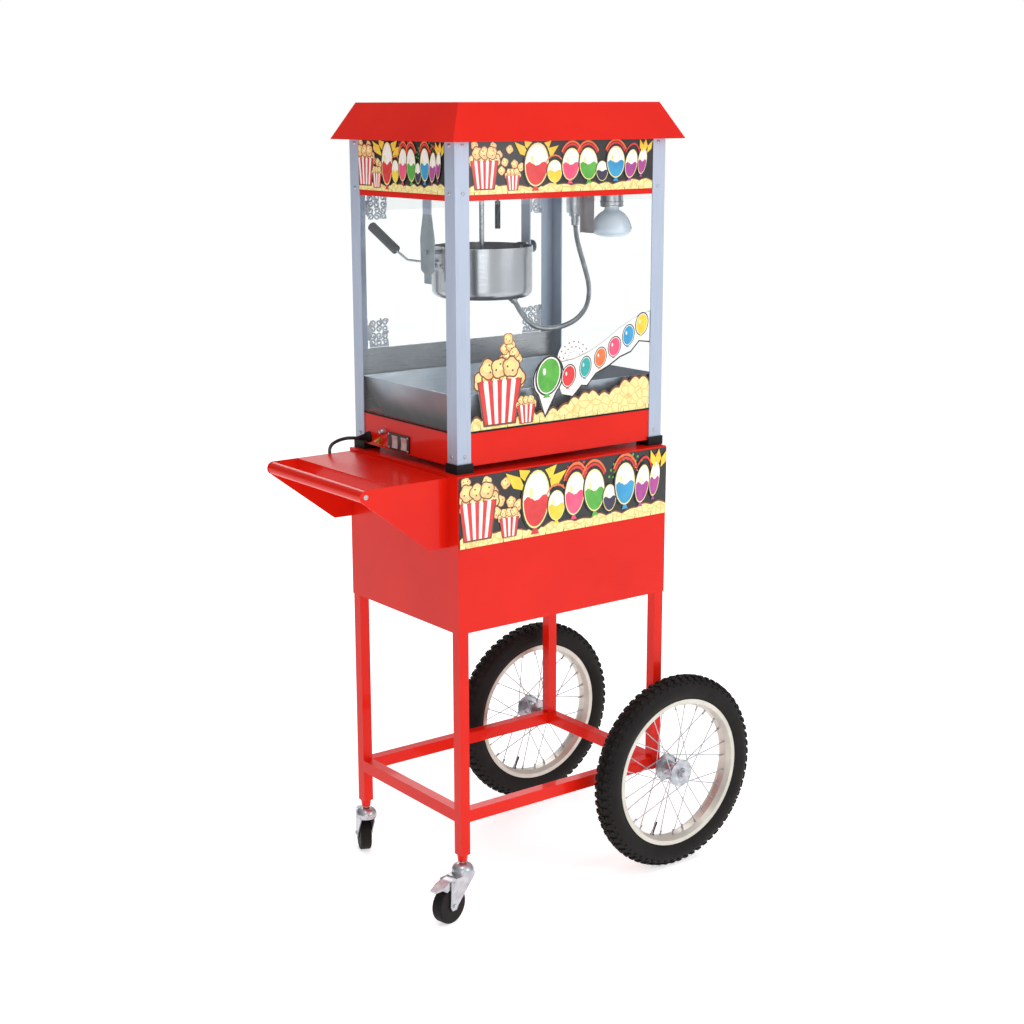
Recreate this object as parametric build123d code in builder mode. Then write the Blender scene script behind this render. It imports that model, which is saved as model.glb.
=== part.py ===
"""Popcorn maker on a push cart: frame, casters, spoked wheels, glass cabinet and tilting kettle.

Millimetres, +Z up. The origin is on the floor, under the middle of the whole machine.
X runs along the front of the cart from the push handle to the spoked wheels, and Y runs
from the front, where customers stand, to the operator's side at the back.
"""
from build123d import *
import math
import os

# ---------------------------------------------------------------- driving dimensions
CART_X = (-262.0, 260.0)        # outer faces of the cart
CART_Y = (-190.0, 190.0)
CART_TOP = 893.0
CART_BOTTOM = 585.0
SHEET = 1.5                     # folded steel sheet
TUBE = 22.0                     # square leg tube
TUBE_WALL = 1.5
LEG_NECK_TOP = 130.0
LEG_NECK_BOTTOM = 115.0
RIGHT_LEG_BOTTOM = 195.0
RAIL_Z = (197.0, 222.0)
SIGN_BOTTOM = 753.0

SHELF_TOP = 887.0               # push shelf beside the cart
SHELF_Y = (-159.0, 183.0)
SHELF_EDGE_X = -390.0
HANDLE_X = -445.0
HANDLE_Z = 874.0
HANDLE_R = 12.5

AXLE_X = 251.5                  # spoked wheels
WHEEL_R = 206.5
WHEEL_Y = 240.0                 # middle plane of each wheel, in front and behind
TYRE_WALL = 6.0
RIM_SEAT_R = 152.5
SPOKES = 28

CASTER_R = 37.5                 # swivel casters under the left legs
CASTER_TRAIL = 42.0
CASTER_WIDTH = 24.0
FRONT_CASTER_ANGLE = 193.0      # where each caster trails at rest
REAR_CASTER_ANGLE = 66.0

BODY_X = (-248.0, 262.0)        # outer faces of the corner posts of the machine
BODY_Y = (-170.0, 188.0)
POST_WIDTH = 32.0
POST_WALL = 2.0
BASE_Z = (905.0, 968.0)
GLASS_TOP = 1400.0
CEILING_Z = 1409.0
HEADER_TOP = 1507.0
ROOF_TOP = 1577.0
ROOF_SIZE = (560.0, 420.0)
ROOF_TOP_SIZE = (484.0, 348.0)
GLASS = 4.0

KETTLE = (-77.0, -17.0)         # kettle axis
KETTLE_R = 99.0
KETTLE_Z = (1205.0, 1304.0)
PIVOT_Z = 1297.0                # tilting axis, along X through the kettle axis
HANGER_X = (-205.0, 32.0)       # middle planes of the two hangers
LEVER_X = -38.0
LEVER_Z = 1428.5

LAMP = (195.0, -87.0)
CONDUIT_SOCKET = (157.0, -17.0)
GLAND_Y = 140.0
GLAND_Z = 920.0
CORD_R = 3.5
COIL_CENTRE = (-150.0, 40.0)
COIL_R = (24.0, 51.0)           # inside and outside of the wound cord

# derived places
BODY_CX = (BODY_X[0] + BODY_X[1]) / 2
BODY_CY = (BODY_Y[0] + BODY_Y[1]) / 2
LEG_X = (CART_X[0] + SHEET + TUBE / 2, CART_X[1] - SHEET - TUBE / 2)
LEG_Y = (CART_Y[0] + SHEET + TUBE / 2, CART_Y[1] - SHEET - TUBE / 2)
LEG_TOP = CART_TOP - SHEET
WALL_X = (BODY_X[0] + POST_WALL, BODY_X[1] - POST_WALL)      # sheet faces behind the posts
WALL_Y = (BODY_Y[0] + POST_WALL, BODY_Y[1] - POST_WALL)
FLOOR_Z = CART_BOTTOM + 3.0                                  # top of the cupboard floor

UP = (0, 0, 0)
ALONG_X = (0, 90, 0)
ALONG_Y = (-90, 0, 0)
pieces = {}


def block(x, y, z, mode=Mode.ADD):
    """A box between pairs of faces, in the part being built."""
    with Locations(((x[0] + x[1]) / 2, (y[0] + y[1]) / 2, (z[0] + z[1]) / 2)):
        Box(x[1] - x[0], y[1] - y[0], z[1] - z[0], mode=mode)


def rod(start, radius, length, turn=UP, mode=Mode.ADD):
    """A round bar that starts at a point and runs up, or along X or Y."""
    with Locations(Location(start, turn)):
        Cylinder(radius, length, align=(Align.CENTER, Align.CENTER, Align.MIN), mode=mode)


def cone(start, radius, end_radius, length, turn=UP):
    """A tapered round bar."""
    with Locations(Location(start, turn)):
        Cone(radius, end_radius, length, align=(Align.CENTER, Align.CENTER, Align.MIN))


def square_tube(centre_x, centre_y, z):
    """An upright square tube, open inside."""
    x, y = (centre_x - TUBE / 2, centre_x + TUBE / 2), (centre_y - TUBE / 2, centre_y + TUBE / 2)
    block(x, y, z)
    inner = TUBE / 2 - TUBE_WALL
    block((centre_x - inner, centre_x + inner), (centre_y - inner, centre_y + inner), z, Mode.SUBTRACT)


# ---------------------------------------------------------------- cart
STEM_R = 5.0
STEM_BORE_R = 5.08
NECK_R = 9.0
AXLE_R = 5.0
with BuildPart() as cart_legs:
    for leg_y in LEG_Y:
        square_tube(LEG_X[0], leg_y, (LEG_NECK_TOP, LEG_TOP))
        square_tube(LEG_X[1], leg_y, (RIGHT_LEG_BOTTOM, LEG_TOP))
        # the left legs are drawn in to a round neck that holds the caster stem
        cone((LEG_X[0], leg_y, LEG_NECK_BOTTOM), NECK_R, TUBE / 2, LEG_NECK_TOP - LEG_NECK_BOTTOM)
        block(
            (LEG_X[0] - TUBE / 2, LEG_X[0] + TUBE / 2),
            (leg_y - TUBE / 2, leg_y + TUBE / 2),
            (LEG_NECK_TOP - 0.5, LEG_NECK_TOP + 6),
        )
        rod((LEG_X[0], leg_y, LEG_NECK_BOTTOM - 1), STEM_BORE_R, 30, mode=Mode.SUBTRACT)
        rod((AXLE_X, leg_y - TUBE, WHEEL_R), AXLE_R, 2 * TUBE, ALONG_Y, Mode.SUBTRACT)
pieces["cart_legs"] = cart_legs

RAIL_INNER = (RAIL_Z[0] + TUBE_WALL, RAIL_Z[1] - TUBE_WALL)
with BuildPart() as lower_rails:
    for rail_y in LEG_Y:
        span = (LEG_X[0] + TUBE / 2, LEG_X[1] - TUBE / 2)
        block(span, (rail_y - TUBE / 2, rail_y + TUBE / 2), RAIL_Z)
        half = TUBE / 2 - TUBE_WALL
        block(span, (rail_y - half, rail_y + half), RAIL_INNER, Mode.SUBTRACT)
    for rail_x in LEG_X:
        span = (LEG_Y[0] + TUBE / 2, LEG_Y[1] - TUBE / 2)
        block((rail_x - TUBE / 2, rail_x + TUBE / 2), span, RAIL_Z)
        half = TUBE / 2 - TUBE_WALL
        block((rail_x - half, rail_x + half), span, RAIL_INNER, Mode.SUBTRACT)
pieces["lower_rails"] = lower_rails

with BuildPart() as cart_top:
    block(CART_X, CART_Y, (LEG_TOP, CART_TOP))
pieces["cart_top"] = cart_top

with BuildPart() as cart_panels:
    front_face = (CART_Y[0], CART_Y[0] + SHEET)
    block(CART_X, front_face, (CART_BOTTOM, LEG_TOP))
    for side_x in (CART_X[0], CART_X[1] - SHEET):
        block((side_x, side_x + SHEET), (CART_Y[0] + SHEET, CART_Y[1]), (CART_BOTTOM, LEG_TOP))
pieces["cart_panels"] = cart_panels

LIP = 20.0
with BuildPart() as cupboard_floor:
    inside_x = (CART_X[0] + SHEET, CART_X[1] - SHEET)
    block(inside_x, (CART_Y[0] + SHEET, CART_Y[1]), (FLOOR_Z - SHEET, FLOOR_Z))
    for leg_x in LEG_X:
        for leg_y in LEG_Y:
            block(
                (leg_x - TUBE / 2, leg_x + TUBE / 2),
                (leg_y - TUBE / 2, leg_y + TUBE / 2 + SHEET),
                (FLOOR_Z - 5, FLOOR_Z + 5),
                Mode.SUBTRACT,
            )
    # a low lip along the open back keeps what is stored from sliding out
    block(
        (LEG_X[0] + TUBE / 2, LEG_X[1] - TUBE / 2),
        (CART_Y[1] - SHEET, CART_Y[1]),
        (FLOOR_Z, FLOOR_Z + LIP),
    )
pieces["cupboard_floor"] = cupboard_floor

GUSSET_BOTTOM = 752.0
GUSSET_CORNER_X = -307.0
with BuildPart() as push_shelf:
    block((SHELF_EDGE_X, CART_X[0]), SHELF_Y, (SHELF_TOP - SHEET, SHELF_TOP))
    block((SHELF_EDGE_X, SHELF_EDGE_X + SHEET), SHELF_Y, (SHELF_TOP - 22, SHELF_TOP))
    for face_y in (SHELF_Y[0] + SHEET, SHELF_Y[1]):
        with BuildSketch(Plane.XZ.offset(-face_y)):
            with BuildLine():
                tip = CenterArc((HANDLE_X, HANDLE_Z), HANDLE_R + 0.5, 90, 136)
                Line(tip @ 0, (CART_X[0], SHELF_TOP))
                Line((CART_X[0], SHELF_TOP), (CART_X[0], GUSSET_BOTTOM))
                Line((CART_X[0], GUSSET_BOTTOM), (GUSSET_CORNER_X, GUSSET_BOTTOM + 1))
                Line((GUSSET_CORNER_X, GUSSET_BOTTOM + 1), tip @ 1)
            make_face()
        extrude(amount=SHEET)
pieces["push_shelf"] = push_shelf

with BuildPart() as push_handle:
    span = (SHELF_Y[0] + SHEET, SHELF_Y[1] - SHEET)
    rod((HANDLE_X, span[0], HANDLE_Z), HANDLE_R - 0.5, span[1] - span[0], ALONG_Y)
    rod((HANDLE_X, span[0] + 4, HANDLE_Z), HANDLE_R - 2.2, span[1] - span[0] - 8, ALONG_Y, Mode.SUBTRACT)
pieces["push_handle"] = push_handle

HUB_HALF = 30.0
NUT = 8.0
with BuildPart() as main_axle:
    half = WHEEL_Y + HUB_HALF + NUT
    rod((AXLE_X, -half, WHEEL_R), AXLE_R, 2 * half, ALONG_Y)
    for side in (-1, 1):
        # hexagon nuts hold each wheel, and a spacer keeps it off the leg
        face = side * (WHEEL_Y + HUB_HALF + (0 if side > 0 else NUT - 1))
        with BuildSketch(Plane(origin=(AXLE_X, face + 0.2 * side, WHEEL_R), z_dir=(0, 1, 0))):
            RegularPolygon(9.0, 6)
        extrude(amount=NUT - 1)
        leg_face = LEG_Y[1] + TUBE / 2
        spacer = WHEEL_Y - HUB_HALF - leg_face - 0.2
        start = leg_face if side > 0 else -leg_face - spacer
        rod((AXLE_X, start, WHEEL_R), 8.0, spacer, ALONG_Y)
pieces["main_axle"] = main_axle


# ---------------------------------------------------------------- spoked wheels
def wheel_plane(side):
    """A plane at the middle of a wheel: x is the radius and y runs along the axle."""
    return Plane(origin=(AXLE_X, side * WHEEL_Y, WHEEL_R), x_dir=(1, 0, 0), z_dir=(0, 0, 1))


def wheel_axis(side):
    return Axis((AXLE_X, side * WHEEL_Y, WHEEL_R), (0, 1, 0))


def tyre(side):
    """An open casing: a round outside and inside, and a square bead on each edge."""
    seat, shoulder, bead_top = RIM_SEAT_R + 0.5, RIM_SEAT_R + 7, RIM_SEAT_R + 8
    bead_in, bead_out = 8.0, 16.0
    with BuildPart() as made:
        with BuildSketch(wheel_plane(side)):
            with BuildLine():
                ThreePointArc((shoulder, -bead_out), (WHEEL_R, 0), (shoulder, bead_out))
                Polyline((shoulder, bead_out), (seat, bead_out), (seat, bead_in), (bead_top, bead_in))
                ThreePointArc((bead_top, bead_in), (WHEEL_R - TYRE_WALL, 0), (bead_top, -bead_in))
                Polyline((bead_top, -bead_in), (seat, -bead_in), (seat, -bead_out), (shoulder, -bead_out))
            make_face()
        revolve(axis=wheel_axis(side))
    return made


def rim(side):
    inner, lip = RIM_SEAT_R - 9, RIM_SEAT_R + 6
    with BuildPart() as made:
        with BuildSketch(wheel_plane(side)):
            with BuildLine():
                Polyline(
                    (inner, -8), (inner, 8), (RIM_SEAT_R - 3, 19), (lip, 19), (lip, 16.2),
                    (RIM_SEAT_R, 16.2), (RIM_SEAT_R - 1, 8), (RIM_SEAT_R - 6, 6),
                    (RIM_SEAT_R - 6, -6), (RIM_SEAT_R - 1, -8), (RIM_SEAT_R, -16.2),
                    (lip, -16.2), (lip, -19), (RIM_SEAT_R - 3, -19), (inner, -8),
                )
            make_face()
        revolve(axis=wheel_axis(side))
    return made


def hub(side):
    with BuildPart() as made:
        with BuildSketch(wheel_plane(side)):
            with BuildLine():
                Polyline(
                    (AXLE_R + 0.05, -HUB_HALF), (11, -HUB_HALF), (12, -25), (29, -24.5), (29, -21.5),
                    (16, -20), (14, 0), (16, 20), (29, 21.5), (29, 24.5), (12, 25), (11, HUB_HALF),
                    (AXLE_R + 0.05, HUB_HALF), (AXLE_R + 0.05, -HUB_HALF),
                )
            make_face()
        revolve(axis=wheel_axis(side))
    return made


def spokes(side):
    """Crossing spokes, half from each flange, leading and trailing by turns."""
    centre = Vector(AXLE_X, side * WHEEL_Y, WHEEL_R)
    with BuildPart() as made:
        for i in range(SPOKES):
            flange = 1 if i % 2 == 0 else -1
            lean = 1 if (i // 2) % 2 == 0 else -1
            out = math.tau * i / SPOKES
            root = out + lean * math.radians(64)
            start = centre + Vector(26 * math.cos(root), flange * (23 + 2.6 * lean), 26 * math.sin(root))
            end_r = RIM_SEAT_R - 10.2
            end = centre + Vector(end_r * math.cos(out), flange * 3.0, end_r * math.sin(out))
            run = end - start
            with BuildSketch(Plane(origin=start, z_dir=run)):
                Circle(1.0)
            extrude(amount=run.length)
    return made


for word, side in (("front", -1), ("rear", 1)):
    pieces[f"{word}_tyre"] = tyre(side)
    pieces[f"{word}_rim"] = rim(side)
    pieces[f"{word}_spokes"] = spokes(side)
    pieces[f"{word}_hub"] = hub(side)


# ---------------------------------------------------------------- casters
def caster_plane(leg_y, angle, offset=0.0):
    """Upright plane through the swivel axis: x runs along the trail, y is height."""
    turn = math.radians(angle)
    along = Vector(math.cos(turn), math.sin(turn), 0)
    across = Vector(-math.sin(turn), math.cos(turn), 0)
    return Plane(origin=Vector(LEG_X[0], leg_y, 0) + across * offset, x_dir=along, z_dir=across * -1)


def caster_fork(leg_y, angle):
    arm_in, arm_out = CASTER_WIDTH / 2 + 1.8, CASTER_WIDTH / 2 + 4.0
    with BuildPart() as made:
        rod((LEG_X[0], leg_y, 100), STEM_R, 42)
        with BuildSketch(caster_plane(leg_y, angle)):
            with BuildLine():
                dome = Spline((0, 112), (14, 109), (22, 99), tangents=((1, 0), (0.25, -1)))
                Polyline(dome @ 1, (22, 90), (0, 90), (0, 112))
            make_face()
        revolve(axis=Axis((LEG_X[0], leg_y, 0), (0, 0, 1)))
        for side in (-1, 1):
            face = -arm_out if side < 0 else arm_in
            with BuildSketch(caster_plane(leg_y, angle, -face)):
                with BuildLine():
                    Polyline(
                        (-18, 92), (-18, 84), (CASTER_TRAIL - 10, CASTER_R - 2),
                        (CASTER_TRAIL - 6, CASTER_R - 9), (CASTER_TRAIL + 6, CASTER_R - 9),
                        (CASTER_TRAIL + 11, CASTER_R), (CASTER_TRAIL + 8, 92), (-18, 92),
                    )
                make_face()
            extrude(amount=arm_out - arm_in)
        with BuildSketch(caster_plane(leg_y, angle, arm_out)):
            with BuildLine():
                Polyline((-18, 92), (-18, 89.5), (30, 89.5), (30, 92), (-18, 92))
            make_face()
        extrude(amount=2 * arm_out)
        # the axle bolt, riveted through both arms, and the pin of the brake pedal
        with BuildSketch(caster_plane(leg_y, angle, arm_out + 3)):
            with Locations((CASTER_TRAIL, CASTER_R)):
                Circle(4.0)
        extrude(amount=2 * arm_out + 6)
        with BuildSketch(caster_plane(leg_y, angle, arm_out + 1)):
            with Locations((CASTER_TRAIL, 86)):
                Circle(2.0)
        extrude(amount=2 * arm_out + 2)
    return made


def caster_wheel(leg_y, angle):
    with BuildPart() as made:
        for radius, width in ((CASTER_R, CASTER_WIDTH), (12, CASTER_WIDTH + 3)):
            with BuildSketch(caster_plane(leg_y, angle, width / 2)):
                with Locations((CASTER_TRAIL, CASTER_R)):
                    Circle(radius)
            extrude(amount=width)
        outer = made.edges().filter_by(GeomType.CIRCLE).filter_by(lambda e: abs(e.radius - CASTER_R) < 0.01)
        fillet(outer, 4)
        with BuildSketch(caster_plane(leg_y, angle, CASTER_WIDTH)):
            with Locations((CASTER_TRAIL, CASTER_R)):
                Circle(4.05)
        extrude(amount=2 * CASTER_WIDTH, mode=Mode.SUBTRACT)
    return made


def caster_brake(leg_y, angle):
    """A pedal that turns on a pin between the arms and presses on the tread."""
    half = CASTER_WIDTH / 2 + 1.0
    with BuildPart() as made:
        with BuildSketch(caster_plane(leg_y, angle, half)):
            with BuildLine():
                Polyline(
                    (CASTER_TRAIL - 6, 82), (CASTER_TRAIL - 6, 90), (CASTER_TRAIL + 6, 90),
                    (CASTER_TRAIL + 46, 80), (CASTER_TRAIL + 46, 77), (CASTER_TRAIL + 18, 79.5),
                    (CASTER_TRAIL + 18, 71), (CASTER_TRAIL + 10, 74.2), (CASTER_TRAIL + 10, 80),
                    (CASTER_TRAIL - 6, 82),
                )
            make_face()
        extrude(amount=2 * half)
        # the pedal narrows towards its end, past the shoe that bears on the tread
        for side in (-1, 1):
            with BuildSketch(Plane(origin=(LEG_X[0], leg_y, 60), x_dir=caster_plane(leg_y, angle).x_dir)):
                with BuildLine():
                    Polyline(
                        (CASTER_TRAIL + 20, side * (half + 1)), (CASTER_TRAIL + 50, side * (half + 1)),
                        (CASTER_TRAIL + 50, side * 6), (CASTER_TRAIL + 20, side * (half + 1)),
                    )
                make_face()
            extrude(amount=40, mode=Mode.SUBTRACT)
        with BuildSketch(caster_plane(leg_y, angle, half + 1)):
            with Locations((CASTER_TRAIL, 86)):
                Circle(2.06)
        extrude(amount=2 * half + 2, mode=Mode.SUBTRACT)
    return made


for word, leg_y, angle in (
    ("front", LEG_Y[0], FRONT_CASTER_ANGLE),
    ("rear", LEG_Y[1], REAR_CASTER_ANGLE),
):
    pieces[f"{word}_caster_fork"] = caster_fork(leg_y, angle)
    pieces[f"{word}_caster_wheel"] = caster_wheel(leg_y, angle)
    pieces[f"{word}_caster_brake"] = caster_brake(leg_y, angle)

# ---------------------------------------------------------------- cabinet
FOOT = 38.0
with BuildPart() as rubber_feet:
    for sx, corner_x in ((1, BODY_X[0] - 3), (-1, BODY_X[1] + 3)):
        for sy, corner_y in ((1, BODY_Y[0] - 3), (-1, BODY_Y[1] + 2)):
            x = sorted((corner_x, corner_x + sx * FOOT))
            y = sorted((corner_y, corner_y + sy * FOOT))
            block(x, y, (CART_TOP, BASE_Z[0]))
            # a raised rim hides the cut end of the post
            block(x, sorted((corner_y, corner_y + sy * (3 if sy > 0 else 2))), (BASE_Z[0], BASE_Z[0] + 6))
            block(sorted((corner_x, corner_x + sx * 3)), y, (BASE_Z[0], BASE_Z[0] + 6))
pieces["rubber_feet"] = rubber_feet

with BuildPart() as corner_posts:
    for sx, corner_x in ((1, BODY_X[0]), (-1, BODY_X[1])):
        for sy, corner_y in ((1, BODY_Y[0]), (-1, BODY_Y[1])):
            wide_x = sorted((corner_x, corner_x + sx * POST_WIDTH))
            thin_x = sorted((corner_x, corner_x + sx * POST_WALL))
            wide_y = sorted((corner_y, corner_y + sy * POST_WIDTH))
            thin_y = sorted((corner_y, corner_y + sy * POST_WALL))
            block(wide_x, thin_y, (BASE_Z[0], HEADER_TOP))
            block(thin_x, wide_y, (BASE_Z[0], HEADER_TOP))
pieces["corner_posts"] = corner_posts

DRAWER_X = (BODY_CX - 127, BODY_CX + 127)
DRAWER_Z = (908.0, 944.0)
with BuildPart() as base_housing:
    block(WALL_X, WALL_Y, BASE_Z)
    inner_x, inner_y = (WALL_X[0] + SHEET, WALL_X[1] - SHEET), (WALL_Y[0] + SHEET, WALL_Y[1] - SHEET)
    block(inner_x, inner_y, (BASE_Z[0] + SHEET, BASE_Z[1] - SHEET), Mode.SUBTRACT)
    flange = 12.0
    block(
        (inner_x[0] + flange, inner_x[1] - flange),
        (inner_y[0] + flange, inner_y[1] - flange),
        (BASE_Z[1] - 2 * SHEET, BASE_Z[1] + 1),
        Mode.SUBTRACT,
    )
    block(
        (DRAWER_X[0] - 1, DRAWER_X[1] + 1),
        (inner_y[1] - 1, WALL_Y[1] + 1),
        (DRAWER_Z[0] - 0.5, DRAWER_Z[1] + 1),
        Mode.SUBTRACT,
    )
    # openings in the left side for the switches and the cord
    block((WALL_X[0] - 1, inner_x[0] + 1), (-1.5, 50.5), (911, 939), Mode.SUBTRACT)
    rod((WALL_X[0] - 1, GLAND_Y, GLAND_Z), 8.0, 4, ALONG_X, Mode.SUBTRACT)
pieces["base_housing"] = base_housing

BIN_FLOOR = 952.0
BIN_TOP = 1040.0
BIN_LOW_SIZE = (414.0, 280.0)
BIN_TOP_SIZE = (494.0, 338.0)
with BuildPart() as popcorn_bin:
    for grow, lift, mode in ((0.0, 0.0, Mode.ADD), (-1.5, 1.5, Mode.SUBTRACT)):
        with BuildSketch(Plane.XY.offset(BIN_FLOOR + lift)):
            with Locations((BODY_CX, BODY_CY)):
                Rectangle(BIN_LOW_SIZE[0] + 2 * grow, BIN_LOW_SIZE[1] + 2 * grow)
        with BuildSketch(Plane.XY.offset(BIN_TOP + lift)):
            with Locations((BODY_CX, BODY_CY - 1)):
                Rectangle(BIN_TOP_SIZE[0] + 2 * grow, BIN_TOP_SIZE[1] + 2 * grow)
        loft(mode=mode)
    # slots let unpopped kernels fall into the drawer
    with Locations((BODY_CX, BODY_CY, BIN_FLOOR)):
        with GridLocations(34, 60, 7, 4):
            Box(22, 5, 8, mode=Mode.SUBTRACT)
pieces["popcorn_bin"] = popcorn_bin

DRAWER_LENGTH = 270.0
with BuildPart() as crumb_drawer:
    back = WALL_Y[1] + 0.3
    block(DRAWER_X, (back - DRAWER_LENGTH, back), DRAWER_Z)
    block((DRAWER_X[0] + SHEET, DRAWER_X[1] - SHEET), (back - DRAWER_LENGTH + SHEET, back - SHEET),
          (DRAWER_Z[0] + SHEET, DRAWER_Z[1] + 1), Mode.SUBTRACT)
    block((DRAWER_X[0] - 6, DRAWER_X[1] + 6), (back, back + SHEET), (DRAWER_Z[0] - 1, DRAWER_Z[1] + 8))
    # a folded finger pull along the bottom of the front
    block((BODY_CX - 60, BODY_CX + 60), (back, back + 18), (DRAWER_Z[0] + 10, DRAWER_Z[0] + 12))
    block((BODY_CX - 60, BODY_CX + 60), (back + 16, back + 18), (DRAWER_Z[0] + 2, DRAWER_Z[0] + 12))
pieces["crumb_drawer"] = crumb_drawer

GLASS_Z = (BASE_Z[1], GLASS_TOP)
with BuildPart() as front_glass:
    block((WALL_X[0], WALL_X[1]), (WALL_Y[0], WALL_Y[0] + GLASS), GLASS_Z)
pieces["front_glass"] = front_glass

with BuildPart() as side_glasses:
    for side_x in (WALL_X[0], WALL_X[1] - GLASS):
        block((side_x, side_x + GLASS), (WALL_Y[0] + GLASS, WALL_Y[1]), GLASS_Z)
pieces["side_glasses"] = side_glasses

BACK_PANEL_TOP = 1092.0
BACK_X = (WALL_X[0] + GLASS, WALL_X[1] - GLASS)
with BuildPart() as back_panel:
    block(BACK_X, (WALL_Y[1] - SHEET, WALL_Y[1]), (BASE_Z[1], BACK_PANEL_TOP))
    block(BACK_X, (WALL_Y[1] - 8, WALL_Y[1]), (BACK_PANEL_TOP - SHEET, BACK_PANEL_TOP))
pieces["back_panel"] = back_panel

DOOR_Z = (1094.0, 1399.0)
DOOR_Y = (WALL_Y[1] - GLASS, WALL_Y[1])
DOOR_OUTER = 4.0                                 # gap from the post to the door
HINGE_Y = BODY_Y[1] + 4.5
HINGE_X = {"left": BODY_X[0] + POST_WIDTH + 2, "right": BODY_X[1] - POST_WIDTH - 2}
HINGE_Z = ((1094.0, 1150.0), (1346.0, 1399.0))
BRACKET = 50.0
PULL_Z = 1240.0
for word, sign in (("left", 1), ("right", -1)):
    hinge_x = HINGE_X[word]
    with BuildPart() as door:
        x = sorted((hinge_x + sign * DOOR_OUTER, BODY_CX - sign * 1.0))
        block(x, DOOR_Y, DOOR_Z)
    pieces[f"{word}_door"] = door
    with BuildPart() as fittings:
        for low, high in HINGE_Z:
            barrel = (low + 12, high - 12)
            x = sorted((hinge_x + sign * DOOR_OUTER, hinge_x + sign * BRACKET))
            block(x, (DOOR_Y[1], DOOR_Y[1] + 2), (low, high))
            rod((hinge_x, HINGE_Y, barrel[0]), 4.0, barrel[1] - barrel[0])
            arm = sorted((hinge_x + sign * 0.5, hinge_x + sign * (DOOR_OUTER + 2)))
            block(arm, (DOOR_Y[1], HINGE_Y), barrel)
            rod((hinge_x, HINGE_Y, low), 2.05, high - low, mode=Mode.SUBTRACT)
        # a round pull near the meeting edge
        knob_x = BODY_CX - sign * 18
        rod((knob_x, DOOR_Y[1], PULL_Z), 5, 10, ALONG_Y)
        rod((knob_x, DOOR_Y[1] + 10, PULL_Z), 10, 8, ALONG_Y)
    pieces[f"{word}_door_fittings"] = fittings

with BuildPart() as door_hinge_leaves:
    for word, sign in (("left", 1), ("right", -1)):
        hinge_x = HINGE_X[word]
        for low, high in HINGE_Z:
            rod((hinge_x, HINGE_Y, low), 2.0, high - low)
            leaf = sorted((hinge_x - sign * 22, hinge_x))
            for lug in ((low, low + 11), (high - 11, high)):
                block(leaf, (BODY_Y[1], HINGE_Y + 2), lug)
            plate = sorted((hinge_x - sign * 22, hinge_x - sign * 6))
            block(plate, (BODY_Y[1], BODY_Y[1] + 2), (low, high))
pieces["door_hinge_leaves"] = door_hinge_leaves

with BuildPart() as header_frame:
    block(WALL_X, WALL_Y, (GLASS_TOP, HEADER_TOP))
    inner_x, inner_y = (WALL_X[0] + SHEET, WALL_X[1] - SHEET), (WALL_Y[0] + SHEET, WALL_Y[1] - SHEET)
    block(inner_x, inner_y, (GLASS_TOP - 1, HEADER_TOP + 1), Mode.SUBTRACT)
pieces["header_frame"] = header_frame

with BuildPart() as ceiling_plate:
    block(inner_x, inner_y, (CEILING_Z, CEILING_Z + SHEET))
    rod((KETTLE[0], KETTLE[1], CEILING_Z - 1), 9.0, 4, mode=Mode.SUBTRACT)
    block(
        (LEVER_X - 12, LEVER_X + 5),
        (KETTLE[1] - 5, KETTLE[1] + 5),
        (CEILING_Z - 1, CEILING_Z + 3),
        Mode.SUBTRACT,
    )
pieces["ceiling_plate"] = ceiling_plate

SIGN = 1.0
with BuildPart() as signs:
    sign_x = (BODY_X[0] + POST_WIDTH, BODY_X[1] - POST_WIDTH)
    sign_y = (BODY_Y[0] + POST_WIDTH, BODY_Y[1] - POST_WIDTH)
    sign_z = (CEILING_Z + 2, HEADER_TOP)
    for face in (WALL_Y[0] - SIGN, WALL_Y[1]):
        block(sign_x, (face, face + SIGN), sign_z)
    for face in (WALL_X[0] - SIGN, WALL_X[1]):
        block((face, face + SIGN), sign_y, sign_z)
    block((CART_X[0] + 2, CART_X[1]), (CART_Y[0] - SIGN, CART_Y[0]), (SIGN_BOTTOM, CART_TOP - 3))
pieces["signs"] = signs

with BuildPart() as roof:
    for shrink, low, high, mode in ((0, 0, 0, Mode.ADD), (2.0, -0.01, -SHEET, Mode.SUBTRACT)):
        with BuildSketch(Plane.XY.offset(HEADER_TOP + low)):
            with Locations((BODY_CX, BODY_CY)):
                Rectangle(ROOF_SIZE[0] - 2 * shrink, ROOF_SIZE[1] - 2 * shrink)
        with BuildSketch(Plane.XY.offset(ROOF_TOP + high)):
            with Locations((BODY_CX, BODY_CY)):
                Rectangle(ROOF_TOP_SIZE[0] - 2 * shrink, ROOF_TOP_SIZE[1] - 2 * shrink)
        loft(mode=mode)
    # the sheet turns in under the eaves and rests on the posts
    with BuildSketch(Plane.XY.offset(HEADER_TOP)):
        with Locations((BODY_CX, BODY_CY)):
            Rectangle(ROOF_SIZE[0] - 3, ROOF_SIZE[1] - 3)
            Rectangle(ROOF_SIZE[0] - 80, ROOF_SIZE[1] - 90, mode=Mode.SUBTRACT)
    extrude(amount=SHEET)
pieces["roof"] = roof

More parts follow.
